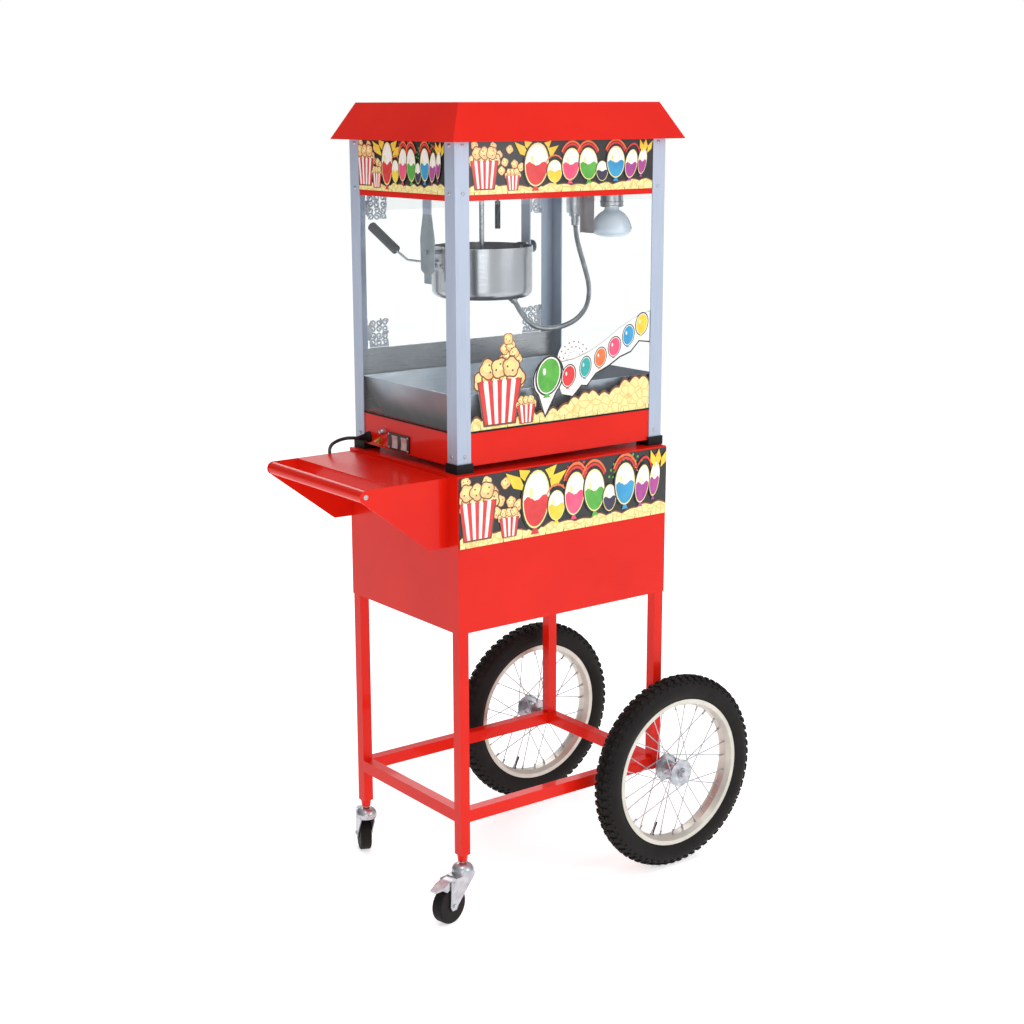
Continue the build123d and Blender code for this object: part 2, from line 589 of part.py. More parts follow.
# ---------------------------------------------------------------- drive in the header
KX, KY = KETTLE
GEARBOX_Z = (1486.0, 1516.0)
with BuildPart() as gear_motor:
    block((KX - 38, KX + 38), (KY - 32, KY + 32), GEARBOX_Z)
    rod((KX, KY, GEARBOX_Z[1]), 29, 46)
    # bent straps carry the gearbox on the ceiling plate, the right one clear of the lift lever
    for strap_x in ((KX - 38, KX - 35), (KX + 60, KX + 63)):
        block(strap_x, (KY - 28, KY + 28), (CEILING_Z + SHEET, GEARBOX_Z[0] + 3))
    block((KX + 38, KX + 63), (KY - 28, KY + 28), (GEARBOX_Z[0], GEARBOX_Z[0] + 3))
pieces["gear_motor"] = gear_motor

SLEEVE_Z = (1450.0, 1480.0)
with BuildPart() as drive_shaft:
    rod((KX, KY, SLEEVE_Z[0]), 11, SLEEVE_Z[1] - SLEEVE_Z[0])
    rod((KX, KY, SLEEVE_Z[1]), 4, 6)
    rod((KX, KY, SLEEVE_Z[0] - 1), 5.05, 28, mode=Mode.SUBTRACT)
pieces["drive_shaft"] = drive_shaft

TANG_BOTTOM = PIVOT_Z - 7
ROD_BOTTOM = PIVOT_Z + 6
COLLAR_Z = 1424.0
with BuildPart() as stir_rod:
    rod((KX, KY, ROD_BOTTOM), 5.0, 1462 - ROD_BOTTOM)
    block((KX - 1.5, KX + 1.5), (KY - 4, KY + 4), (TANG_BOTTOM, ROD_BOTTOM + 1))
    rod((KX, KY, COLLAR_Z), 7.0, 9)
    for disc in (COLLAR_Z, COLLAR_Z + 7):
        rod((KX, KY, disc), 11.0, 2)
pieces["stir_rod"] = stir_rod

ARM = LEVER_X - KX
with BuildPart() as lift_lever:
    # a forked arm lifts the collar, and a rod with a grip hangs through the ceiling
    for side in (-1, 1):
        y = sorted((KY + side * 11.5, KY + side * 14))
        block((KX - 3, LEVER_X + 4), y, (LEVER_Z - 3, LEVER_Z + 3))
        pin = sorted((KY + side * 7.5, KY + side * 12))
        rod((KX, pin[0], LEVER_Z), 1.75, pin[1] - pin[0], ALONG_Y)
    block((LEVER_X - 4, LEVER_X + 4), (KY - 14, KY + 14), (LEVER_Z - 4, LEVER_Z + 4))
    rod((LEVER_X, KY, 1380), 2.5, LEVER_Z - 1380)
    rod((LEVER_X, KY - 15, LEVER_Z), 2.05, 30, ALONG_Y, Mode.SUBTRACT)
    rod((LEVER_X, KY, 1335), 5.5, 54)
pieces["lift_lever"] = lift_lever

# ---------------------------------------------------------------- kettle
PIN_R = 4.0
POT_WALL = 2.0
STRAP_HALF = 13.5               # half the width of a hanger at the ceiling
with BuildPart() as kettle_hangers:
    left, right = HANGER_X
    with BuildSketch(Plane.YZ.offset(left - 1.25)):
        with BuildLine():
            Polyline(
                (KY, CEILING_Z), (KY + STRAP_HALF, CEILING_Z), (KY + STRAP_HALF, PIVOT_Z + 72),
                (KY + 23.5, PIVOT_Z + 25), (KY + 22, PIVOT_Z - 35), (KY + 11, PIVOT_Z - 41),
                (KY + 11, PIVOT_Z - 60), (KY, PIVOT_Z - 60),
            )
            mirror(about=Plane.YZ.offset(KY))
        make_face()
    extrude(amount=2.5)
    block((right - 1.25, right + 1.25), (KY - 14, KY + 14), (PIVOT_Z - 14, CEILING_Z))
    for x in HANGER_X:
        # a bent foot is bolted to the ceiling
        inward = sorted((x - 1.25, x - 1.25 + (22 if x < KX else -22) + (0 if x < KX else 2.5)))
        block(inward, (KY - STRAP_HALF, KY + STRAP_HALF), (CEILING_Z - 2.5, CEILING_Z))
    # the fixed pivot pins, with a clamping knob outside the right hanger
    wall_inside = KETTLE_R - POT_WALL
    rod((left - 6, KY, PIVOT_Z), PIN_R, KX - wall_inside - (left - 6), ALONG_X)
    rod((KX + wall_inside, KY, PIVOT_Z), PIN_R, right + 18 - (KX + wall_inside), ALONG_X)
    rod((right + 3, KY, PIVOT_Z), 12.0, 15, ALONG_X)
pieces["kettle_hangers"] = kettle_hangers

BOSS_ROOT = Vector(-10.0, KY, KETTLE_Z[0] + 2)
BOSS_RUN = Vector(0.6, 0, -0.8)
EAR = 4.0                                        # how far the pivot ears stand out of the pot
with BuildPart() as kettle_pot:
    with BuildSketch(Plane.XZ.offset(-KY)):
        with BuildLine():
            base, top = KETTLE_Z
            bend = 16.0
            Line((KX, base), (KX + KETTLE_R - bend, base))
            RadiusArc((KX + KETTLE_R - bend, base), (KX + KETTLE_R, base + bend), -bend)
            Line((KX + KETTLE_R, base + bend), (KX + KETTLE_R, top - 12))
            Polyline(
                (KX + KETTLE_R, top - 12), (KX + KETTLE_R + 1.5, top - 12), (KX + KETTLE_R + 1.5, top),
                (KX + KETTLE_R - POT_WALL, top), (KX + KETTLE_R - POT_WALL, base + bend),
            )
            RadiusArc((KX + KETTLE_R - POT_WALL, base + bend), (KX + KETTLE_R - bend, base + 3), bend - 2)
            Line((KX + KETTLE_R - bend, base + 3), (KX, base + 3))
            Line((KX, base + 3), (KX, base))
        make_face()
    revolve(axis=Axis((KX, KY, 0), (0, 0, 1)))
    rod((KX, KY, KETTLE_Z[0] + 1), 3.0, 16)                         # centre pin of the agitator
    # the fitting of the heater lead points at the lead
    with BuildSketch(Plane(origin=BOSS_ROOT, z_dir=BOSS_RUN)):
        Circle(9.0)
    extrude(amount=13)
    for sign in (-1, 1):
        # riveted ears carry the pivot bushes above the rim
        face = sorted((KX + sign * (KETTLE_R - 1), KX + sign * (KETTLE_R + EAR)))
        block(face, (KY - 15, KY + 15), (PIVOT_Z - 36, PIVOT_Z + 9))
    inner = KETTLE_R - POT_WALL
    rod((KX, KY, KETTLE_Z[0] + 20), inner, 120, mode=Mode.SUBTRACT)
    rod((KX, KY, KETTLE_Z[0] + 3), inner - 16, 20, mode=Mode.SUBTRACT)
    rod((KX, KY, KETTLE_Z[0] + 1), 3.0, 16)
    rod((KX - KETTLE_R - 10, KY, PIVOT_Z), PIN_R + 0.06, 2 * KETTLE_R + 20, ALONG_X, Mode.SUBTRACT)
pieces["kettle_pot"] = kettle_pot

HANDLE_PATH = [
    (KX - KETTLE_R - 2, KY + 10, 1277.0), (-196.0, KY + 24, 1277.0),
    (-199.0, 62.0, 1277.5), (-206.0, 83.0, 1291.0),
]
GRIP_END = (-219.0, 153.0, 1336.0)
with BuildPart() as kettle_handle:
    with BuildLine() as handle_line:
        FilletPolyline(*HANDLE_PATH, GRIP_END, radius=9)
    with BuildSketch(Plane(origin=HANDLE_PATH[0], z_dir=handle_line.wire() % 0)):
        Circle(2.5)
    sweep(path=handle_line.wire())
pieces["kettle_handle"] = kettle_handle

grip_start, grip_end = Vector(*HANDLE_PATH[3]), Vector(*GRIP_END)
grip_run = (grip_end - grip_start).normalized()
with BuildPart() as kettle_grip:
    with BuildSketch(Plane(origin=grip_start + grip_run * 6, z_dir=grip_run)):
        Circle(9.5)
    extrude(amount=(grip_end - grip_start).length)
    fillet(kettle_grip.edges().filter_by(GeomType.CIRCLE), 3)
    with BuildSketch(Plane(origin=grip_start, z_dir=grip_run)):
        Circle(2.5)
    extrude(amount=(grip_end - grip_start).length, mode=Mode.SUBTRACT)
pieces["kettle_grip"] = kettle_grip

POST_TOP = PIVOT_Z + 2
SLOT_FLOOR = PIVOT_Z - 10.5
HUB_Z = KETTLE_Z[0] + 4
with BuildPart() as agitator:
    rod((KX, KY, HUB_Z), 5.0, POST_TOP - HUB_Z)
    rod((KX, KY, HUB_Z), 9.0, 14)
    block((KX - 1.8, KX + 1.8), (KY - 6, KY + 6), (SLOT_FLOOR, POST_TOP + 1), Mode.SUBTRACT)
    # two swept blades just above the bottom
    for turn in (0, 180):
        with Locations(Location((KX, KY, HUB_Z + 1.5), (0, 0, turn))):
            Box(76, 3, 9, align=(Align.MIN, Align.CENTER, Align.MIN))
        with Locations(Location((KX, KY, HUB_Z + 1.5), (0, 0, turn))):
            with Locations((64, 8, 0)):
                Box(3, 16, 9, align=(Align.MIN, Align.CENTER, Align.MIN))
    rod((KX, KY, HUB_Z - 1), 3.05, 15, mode=Mode.SUBTRACT)
pieces["agitator"] = agitator

CONDUIT_R = 5.5
SOCKET_LOW = 1345.0
LAMP_TOP = 1372.0
LAMP_WIDEST = 1330.0
LAMP_LOW = 1311.0
with BuildPart() as ceiling_sockets:
    cone((CONDUIT_SOCKET[0], CONDUIT_SOCKET[1], SOCKET_LOW), 8.0, 17.0, CEILING_Z - SOCKET_LOW)
    rod((LAMP[0], LAMP[1], LAMP_TOP), 22.0, CEILING_Z - LAMP_TOP)
pieces["ceiling_sockets"] = ceiling_sockets

LAMP_R = 41.0
with BuildPart() as lamp_bulb:
    with BuildSketch(Plane.XZ.offset(-LAMP[1])):
        with BuildLine():
            x = LAMP[0]
            Line((x, LAMP_TOP), (x + 14, LAMP_TOP))
            Spline(
                (x + 14, LAMP_TOP), (x + 22, LAMP_TOP - 10), (x + LAMP_R, LAMP_WIDEST),
                tangents=((0, -1), (0.25, -1)),
            )
            Spline(
                (x + LAMP_R, LAMP_WIDEST), (x + 31, LAMP_LOW + 5), (x, LAMP_LOW),
                tangents=((0, -1), (-1, 0)),
            )
            Line((x, LAMP_LOW), (x, LAMP_TOP))
        make_face()
    revolve(axis=Axis((LAMP[0], LAMP[1], 0), (0, 0, 1)))
pieces["lamp_bulb"] = lamp_bulb

# ---------------------------------------------------------------- controls on the left side
PANEL_X = WALL_X[0]
HEAT_Y, MOTOR_Y, ROCKER_Z = 40.5, 8.5, 924.7
FUSE = (84.0, 939.0)            # across and up the panel
EARTH = (99.0, 918.0)
with BuildPart() as control_bezel:
    block((PANEL_X - 3.5, PANEL_X), (-7.5, 65.5), (908, 941))
    for centre_y in (MOTOR_Y, HEAT_Y):
        block((PANEL_X, PANEL_X + 24), (centre_y - 10, centre_y + 10), (911, 939))
        block((PANEL_X - 4, PANEL_X + 10), (centre_y - 9.5, centre_y + 9.5), (911.2, 938.2), Mode.SUBTRACT)
pieces["control_bezel"] = control_bezel

for name, centre_y in (("heat_switch", HEAT_Y), ("motor_switch", MOTOR_Y)):
    with BuildPart() as switch:
        block((PANEL_X - 5.5, PANEL_X + 4), (centre_y - 9, centre_y + 9), (ROCKER_Z - 12.3, ROCKER_Z + 12.3))
        # the face is dished between its two raised ends
        rod((PANEL_X - 46, centre_y - 12, ROCKER_Z), 42.0, 24, ALONG_Y, Mode.SUBTRACT)
    pieces[name] = switch

with BuildPart() as panel_terminals:
    rod((PANEL_X - 9, *FUSE), 5.5, 9, ALONG_X)
    rod((PANEL_X - 12, *FUSE), 4.0, 3, ALONG_X)
    with BuildSketch(Plane(origin=(PANEL_X - 4, *EARTH), z_dir=(1, 0, 0))):
        RegularPolygon(6.5, 6)
    extrude(amount=4)
    rod((PANEL_X - 13, *EARTH), 3.0, 9, ALONG_X)
pieces["panel_terminals"] = panel_terminals

GLAND_END = PANEL_X - 26
with BuildPart() as cord_gland:
    rod((PANEL_X - 6, GLAND_Y, GLAND_Z), 11.0, 6, ALONG_X)
    rod((PANEL_X, GLAND_Y, GLAND_Z), 7.9, 8, ALONG_X)
    cone((GLAND_END, GLAND_Y, GLAND_Z), 4.5, 8.5, 20, ALONG_X)
pieces["cord_gland"] = cord_gland

# ---------------------------------------------------------------- screws
HEAD_R = 3.6
HEAD = 2.0
SCREW_INSET = 18.0
LOW_SCREW, HIGH_SCREW, TOP_SCREW = 925.0, 1414.0, 1500.0
with BuildPart() as frame_screws:
    for z in (LOW_SCREW, HIGH_SCREW, TOP_SCREW):
        for x in (BODY_X[0] + SCREW_INSET, BODY_X[1] - SCREW_INSET):
            rod((x, BODY_Y[0] - HEAD, z), HEAD_R, HEAD, ALONG_Y)
            if z != HIGH_SCREW:
                # the door hinges take this place at the back
                rod((x, BODY_Y[1], z), HEAD_R, HEAD, ALONG_Y)
        for y in (BODY_Y[0] + SCREW_INSET, BODY_Y[1] - SCREW_INSET):
            rod((BODY_X[0] - HEAD, y, z), HEAD_R, HEAD, ALONG_X)
            rod((BODY_X[1], y, z), HEAD_R, HEAD, ALONG_X)
    for y in (-4.3, 62.3):
        for z in (911.5, 937.5):
            rod((PANEL_X - 5.5, y, z), 2.4, 2, ALONG_X)
    rod((HANDLE_X, SHELF_Y[0] - HEAD, HANDLE_Z), 5.0, HEAD, ALONG_Y)
    rod((HANDLE_X, SHELF_Y[1], HANDLE_Z), 5.0, HEAD, ALONG_Y)
pieces["frame_screws"] = frame_screws


# ---------------------------------------------------------------- leads
def tube_along(points, radius):
    """A round lead along straight runs joined by arcs as large as the runs allow."""
    points = [Vector(*p) for p in points]
    radii = []
    for a, b, c in zip(points, points[1:], points[2:]):
        turn = math.radians((b - a).get_angle(c - b))
        radii.append(0.45 * min((b - a).length, (c - b).length) / math.tan(turn / 2))
    with BuildPart() as made:
        with BuildLine() as line:
            FilletPolyline(*points, radius=radii)
        with BuildSketch(Plane(origin=points[0], z_dir=line.wire() % 0)):
            Circle(radius)
        sweep(path=line.wire())
    length = line.wire().length
    ratio = made.part.volume / (math.pi * radius**2 * length)
    print("lead", round(length, 1), "radii", [round(r) for r in radii], "volume ratio", round(ratio, 4))
    return made


MAINS_ROUTE = [
    (GLAND_END, GLAND_Y, GLAND_Z), (-284.0, GLAND_Y + 1, 922.0),
    (-298.0, 147.0, 922.0), (-310.0, 160.0, 916.0),
    (-314.0, 178.0, 905.0), (-309.0, 194.0, 888.0), (-299.0, 200.0, 864.0), (-285.0, 203.0, 838.0),
    (-266.0, 205.0, 812.0), (-243.0, 206.0, 786.0), (-221.0, 203.0, 756.0), (-208.0, 194.0, 722.0),
    (-201.0, 176.0, 687.0), (-199.0, 150.0, 655.0), (-198.5, 122.0, 628.0), (-198.0, 95.0, 608.0),
    (-197.6, 70.0, 598.0),
]
pieces["mains_cord"] = tube_along(MAINS_ROUTE, CORD_R)

CONDUIT_ROUTE = [
    (CONDUIT_SOCKET[0], KY, SOCKET_LOW), (159.0, KY, 1316.0), (170.0, KY - 1, 1280.0), (185.0, KY, 1243.0),
    (197.0, KY, 1206.0), (192.0, KY, 1168.0), (165.0, KY, 1142.0), (127.0, KY, 1130.0), (88.0, KY, 1127.0),
    (53.0, KY, 1135.0), (25.0, KY, 1157.0),
    tuple(BOSS_ROOT + BOSS_RUN * 29), tuple(BOSS_ROOT + BOSS_RUN * 13.3),
]
pieces["kettle_conduit"] = tube_along(CONDUIT_ROUTE, CONDUIT_R)

COIL_HEIGHT = 14.8              # two layers of turns
with BuildPart() as cord_coil:
    with BuildSketch(Plane.XY.offset(FLOOR_Z + 0.4)):
        with Locations(COIL_CENTRE):
            Circle(COIL_R[1])
            Circle(COIL_R[0], mode=Mode.SUBTRACT)
    extrude(amount=COIL_HEIGHT)
pieces["cord_coil"] = cord_coil

PLUG_HALF = 11.0
PLUG_LENGTH = 34.0
with BuildPart() as mains_plug:
    # the cord leaves the coil along a tangent and enters the strain relief of the plug
    px, py = COIL_CENTRE[0] + COIL_R[1] - CORD_R - 0.5, COIL_CENTRE[1] + 50
    block((px - PLUG_HALF, px + PLUG_HALF), (py, py + PLUG_LENGTH), (FLOOR_Z, FLOOR_Z + 2 * PLUG_HALF + 2))
    fillet(mains_plug.edges().filter_by(Axis.Y), 5)
    cone((px, py, FLOOR_Z + PLUG_HALF + 1), 8.0, 4.5, 24, (90, 0, 0))
    for pin_x in (px - 6.4, px + 6.4):
        rod((pin_x, py + PLUG_LENGTH, FLOOR_Z + PLUG_HALF + 1), 2.2, 19, ALONG_Y)
pieces["mains_plug"] = mains_plug

# ---------------------------------------------------------------- files
os.makedirs("parts", exist_ok=True)
for name, piece in pieces.items():
    piece.part.label = name
    export_step(piece.part, f"parts/{name}.step")
print(len(pieces), "pieces")
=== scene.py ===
# %% [markdown]
# # A popcorn maker on a push cart
# The machine comes in as a finished mechanical frame: every tube, panel, hinge and wheel is
# already there, in its true place, in metres. This lesson dresses that frame. It gives each
# part a real finish, and it makes by hand what engineering solids leave plain: the tread of
# the tyres, the mains cord, the printed boards, the scroll hinges and the metal hose.

# %% Load the frame
import math
import random
import bpy
import bmesh
from mathutils import Matrix, Vector


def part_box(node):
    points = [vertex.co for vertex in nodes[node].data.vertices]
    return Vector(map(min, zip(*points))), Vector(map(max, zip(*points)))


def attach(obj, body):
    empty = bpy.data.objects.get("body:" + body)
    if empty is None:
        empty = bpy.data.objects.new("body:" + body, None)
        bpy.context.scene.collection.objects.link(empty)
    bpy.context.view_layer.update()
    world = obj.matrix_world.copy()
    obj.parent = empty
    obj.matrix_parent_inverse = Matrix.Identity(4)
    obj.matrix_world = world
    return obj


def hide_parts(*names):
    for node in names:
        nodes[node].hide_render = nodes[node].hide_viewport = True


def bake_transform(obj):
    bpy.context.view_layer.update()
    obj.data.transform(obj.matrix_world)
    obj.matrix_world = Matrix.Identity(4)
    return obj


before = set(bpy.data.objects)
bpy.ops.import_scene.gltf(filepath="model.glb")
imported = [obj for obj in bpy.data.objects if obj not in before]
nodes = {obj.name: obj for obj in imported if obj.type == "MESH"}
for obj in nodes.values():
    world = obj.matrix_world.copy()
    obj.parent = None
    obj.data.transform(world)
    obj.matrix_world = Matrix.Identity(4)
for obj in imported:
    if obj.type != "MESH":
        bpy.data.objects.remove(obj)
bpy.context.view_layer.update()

# %% [markdown]
# Lengths on a drawing of such a machine are in millimetres, and Blender works in metres. One
# short helper turns a drawn place into a point, so that the rest can be read like the drawing.

# %% Millimetres
MM = 0.001


def at(x, y, z):
    """A point given in millimetres."""
    return Vector((x, y, z)) * MM


def low(node, axis):
    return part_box(node)[0][axis] / MM


def high(node, axis):
    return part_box(node)[1][axis] / MM


print("height of the machine:", round(high("roof", 2)), "mm")

# %% [markdown]
# ## Camera
# The machine is seen from its front left corner, a little from above, with a long lens. The
# long lens keeps the upright posts nearly parallel, as in a sales picture.

# %% Camera
LENS = 62.1
camera_data = bpy.data.cameras.new("camera")
camera_data.lens = LENS
camera_data.sensor_width = 36.0
camera_data.clip_end = 60.0
camera = bpy.data.objects.new("camera", camera_data)
camera.location = at(-2123.9, -2834.7, 1574.2)
camera.rotation_euler = (math.radians(90 - 13.02), math.radians(0.13), math.radians(-36.98))
bpy.context.scene.collection.objects.link(camera)
bpy.context.scene.camera = camera
print("camera stands", round((camera.location - at(0, 0, 800)).length, 2), "m from the machine")

# %% [markdown]
# ## Making a piece
# Every piece below ends the same way. Its bmesh becomes a mesh whose place is in its vertices,
# it gets its finish, and it rides on the body that carries it in the real machine. Faces that
# meet at a shallow angle are shaded smooth, and sharper folds stay crisp.


# %% Helpers that finish a piece
def add_mesh(name, mesh, finishes, body, stands_for=(), smooth_below=40):
    """Puts a finished mesh on a body of the machine."""
    for finish in finishes if isinstance(finishes, (list, tuple)) else [finishes]:
        mesh.materials.append(finish)
    if smooth_below:
        mesh.shade_smooth()
        mesh.set_sharp_from_angle(angle=math.radians(smooth_below))
    piece = bpy.data.objects.new(name, mesh)
    bpy.context.scene.collection.objects.link(piece)
    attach(piece, body)
    if stands_for:
        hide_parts(*stands_for)
    print(name, len(mesh.polygons), "faces")
    return piece


def add_piece(name, bm, finishes, body, stands_for=(), smooth_below=40, closed=True):
    """Turns a bmesh into a piece. Closed shapes get their faces turned outwards."""
    if closed:
        bmesh.ops.recalc_face_normals(bm, faces=bm.faces)
    mesh = bpy.data.meshes.new(name)
    bm.to_mesh(mesh)
    bm.free()
    return add_mesh(name, mesh, finishes, body, stands_for, smooth_below)


def curve_mesh(data):
    """The mesh that a curve makes, with its thickness."""
    holder = bpy.data.objects.new("holder", data)
    bpy.context.scene.collection.objects.link(holder)
    bpy.context.view_layer.update()
    made = bpy.data.meshes.new_from_object(holder.evaluated_get(bpy.context.evaluated_depsgraph_get()))
    bpy.data.objects.remove(holder)
    return made


def smooth_line(name, places, radius=0.0, fine=12):
    """A curve of one smooth line, in metres, with its round thickness if it has a radius."""
    data = bpy.data.curves.new(name, "CURVE")
    data.dimensions = "3D"
    line = data.splines.new("NURBS")
    line.points.add(len(places) - 1)
    for knot, place in zip(line.points, places):
        knot.co = (*place, 1)
    line.order_u = 3
    line.use_endpoint_u = True
    data.resolution_u = fine
    data.bevel_depth = radius
    data.bevel_resolution = 5
    data.use_fill_caps = radius > 0
    return data


def points_along(places, step):
    """Evenly spaced points on the smooth line through some places."""
    dense = [v.co.copy() for v in curve_mesh(smooth_line("measure", places, fine=40)).vertices]
    reach = [0.0]
    for a, b in zip(dense, dense[1:]):
        reach.append(reach[-1] + (b - a).length)
    count = max(2, round(reach[-1] / step))
    even, i = [], 0
    for k in range(count + 1):
        want = reach[-1] * k / count
        while i < len(reach) - 2 and reach[i + 1] < want:
            i += 1
        share = (want - reach[i]) / max(reach[i + 1] - reach[i], 1e-9)
        even.append(dense[i].lerp(dense[i + 1], min(share, 1.0)))
    return even, reach[-1]


# %% [markdown]
# ## Finishes
# A finish is more than a colour. Each one below mixes two close colours by a soft noise, lets
# the roughness wander a little, and adds a fine grain as bump. The grain can be stretched
# along one axis, which is what brushing does to steel and drawing does to aluminium. All of
# it reads Object coordinates, so the pattern stays on the part when the part moves.


# %% One recipe for painted, plated, moulded and brushed surfaces
def tint(red, green, blue):
    """A colour named by its display values, 0 to 255, in the linear form that shaders use."""
    parts = [c / 255 for c in (red, green, blue)]
    return tuple(c / 12.92 if c <= 0.04045 else ((c + 0.055) / 1.055) ** 2.4 for c in parts) + (1,)


def pattern(tree, scale, stretch=(1, 1, 1), detail=3.0, rough=0.55):
    """Noise in the part's own coordinates; a small stretch value draws it out along that axis."""
    place = tree.nodes.new("ShaderNodeTexCoord")
    mapping = tree.nodes.new("ShaderNodeMapping")
    mapping.inputs["Scale"].default_value = stretch
    noise = tree.nodes.new("ShaderNodeTexNoise")
    noise.inputs["Scale"].default_value = scale
    noise.inputs["Detail"].default_value = detail
    noise.inputs["Roughness"].default_value = rough
    tree.links.new(place.outputs["Object"], mapping.inputs["Vector"])
    tree.links.new(mapping.outputs["Vector"], noise.inputs["Vector"])
    return noise.outputs["Fac"]


def between(tree, source, first, second, start=0.35, end=0.65):
    """Maps a pattern to a range of values."""
    node = tree.nodes.new("ShaderNodeMapRange")
    node.inputs["From Min"].default_value = start
    node.inputs["From Max"].default_value = end
    node.inputs["To Min"].default_value = first
    node.inputs["To Max"].default_value = second
    tree.links.new(source, node.inputs["Value"])
    return node.outputs["Result"]


def blend_colours(tree, source, first, second):
    """Mixes two colours by a value; each is a fixed colour or another node's output."""
    node = tree.nodes.new("ShaderNodeMix")
    node.data_type = "RGBA"
    for socket, colour in ((node.inputs[6], first), (node.inputs[7], second)):
        if isinstance(colour, tuple):
            socket.default_value = colour
        else:
            tree.links.new(colour, socket)
    tree.links.new(source, node.inputs[0])
    return node.outputs[2]


def new_finish(name):
    """A new material, with its node tree and its main shader."""
    material = bpy.data.materials.new(name)
    material.use_nodes = True
    return material, material.node_tree, material.node_tree.nodes["Principled BSDF"]


STREAK_SHADE = 0.72


def surface(name, colour, second, rough, metal=0.0, cloud=9.0, grain=600.0, stretch=(1, 1, 1),
            relief=0.05, depth=0.0002, coat=0.0, coat_rough=0.05, streak=0.0):
    """A finish with clouded colour, wandering roughness and a fine grain in relief."""
    material, tree, shader = new_finish(name)
    clouds = between(tree, pattern(tree, cloud), 0.0, 1.0)
    base = blend_colours(tree, clouds, tint(*colour), tint(*second))
    fine = pattern(tree, grain, stretch, detail=2.0)
    if streak:
        shadow = tint(*[c * STREAK_SHADE for c in colour])
        base = blend_colours(tree, between(tree, fine, 0.0, streak), base, shadow)
    tree.links.new(base, shader.inputs["Base Color"])
    tree.links.new(between(tree, fine, rough[0], rough[1]), shader.inputs["Roughness"])
    bump = tree.nodes.new("ShaderNodeBump")
    bump.inputs["Strength"].default_value = relief
    bump.inputs["Distance"].default_value = depth
    tree.links.new(fine, bump.inputs["Height"])
    tree.links.new(bump.outputs["Normal"], shader.inputs["Normal"])
    shader.inputs["Metallic"].default_value = metal
    shader.inputs["Coat Weight"].default_value = coat
    shader.inputs["Coat Roughness"].default_value = coat_rough
    return material


# %% [markdown]
# Baked red enamel covers the cart, the base and the roof. It is a gloss paint over folded
# sheet: a coloured base under a clear hard skin, with a faint orange-peel that only shows in
# reflections. The coat gives the skin, and a slow noise gives the peel.

# %% Painted, brushed and plated metals
RED = (222, 30, 12)
red_paint = surface("red_enamel", RED, (214, 25, 10), (0.3, 0.36), cloud=5, grain=160, relief=0.03,
                    depth=0.0002, coat=0.22, coat_rough=0.03)
red_paint.node_tree.nodes["Principled BSDF"].inputs["Specular IOR Level"].default_value = 0.1
post_aluminium = surface("drawn_aluminium", (182, 192, 211), (172, 184, 204), (0.34, 0.44), metal=0.3,
                         grain=900, stretch=(1, 1, 0.01), relief=0.08, depth=0.0001, streak=0.22, cloud=3)
stainless = surface("brushed_stainless", (188, 190, 194), (170, 172, 178), (0.26, 0.38), metal=0.9,
                    grain=700, stretch=(0.03, 0.03, 1.2), relief=0.06, depth=0.0001, streak=0.25)
bin_steel = surface("wiped_stainless", (176, 184, 194), (148, 160, 174), (0.34, 0.5), metal=0.85,
                    cloud=12, grain=500, stretch=(0.04, 1, 1), relief=0.06, streak=0.15)
pot_steel = surface("turned_stainless", (186, 188, 192), (170, 172, 178), (0.2, 0.27), metal=1.0, cloud=4,
                    grain=900, stretch=(0.02, 0.02, 1), relief=0.05, depth=0.0001, streak=0.2)
zinc = surface("zinc_plate", (200, 202, 206), (168, 172, 180), (0.25, 0.45), metal=0.95, cloud=60,
               grain=1500, relief=0.15, streak=0.15)
rim_alloy = surface("satin_alloy", (214, 210, 200), (198, 194, 184), (0.32, 0.45), metal=0.6, cloud=20,
                    grain=1200, relief=0.1)
brass = surface("brass", (214, 170, 84), (188, 140, 60), (0.2, 0.35), metal=1.0, cloud=80, grain=1600,
                relief=0.1)
scroll_silver = surface("cast_silver", (228, 230, 240), (200, 204, 218), (0.3, 0.45), metal=0.2, cloud=90,
                        grain=1400, relief=0.15)
iron = surface("dull_aluminium", (146, 158, 166), (124, 136, 144), (0.4, 0.55), metal=0.4, cloud=30,
               grain=800, relief=0.25)
print("metal finishes:", [m.name for m in (red_paint, post_aluminium, stainless, zinc, rim_alloy, brass)])

# %% [markdown]
# Rubber and moulded plastic are soft-edged and nearly colourless. Tyre rubber is matt with a
# pale dusty bloom, cord jacket is smoother, and the handle grips are a slate-black plastic
# with a fine spark-eroded texture that breaks up the highlight.

# %% Rubber and plastic
tyre_rubber = surface("tyre_rubber", (27, 24, 23), (18, 16, 15), (0.55, 0.75), cloud=25, grain=700,
                      relief=0.4, depth=0.0003)
soft_rubber = surface("soft_rubber", (26, 26, 28), (18, 18, 20), (0.5, 0.65), cloud=30, grain=900, relief=0.2)
cord_jacket = surface("cord_jacket", (30, 30, 32), (22, 22, 24), (0.35, 0.5), cloud=40, grain=1200,
                      relief=0.1)
for rubber in (tyre_rubber, soft_rubber):
    rubber.node_tree.nodes["Principled BSDF"].inputs["Specular IOR Level"].default_value = 0.2
black_plastic = surface("black_plastic", (30, 30, 33), (22, 22, 25), (0.3, 0.42), cloud=30, grain=1400,
                        relief=0.15)
grip_plastic = surface("slate_grip", (52, 56, 62), (40, 44, 50), (0.42, 0.55), cloud=30, grain=1100,
                       relief=0.4)
rocker_plastic = surface("rocker_plastic", (205, 186, 182), (188, 168, 165), (0.25, 0.35), cloud=60,
                         grain=1500, relief=0.1)
motor_paint = surface("motor_casting", (92, 96, 100), (78, 82, 86), (0.45, 0.6), metal=0.4, cloud=20,
                      grain=500, relief=0.3)
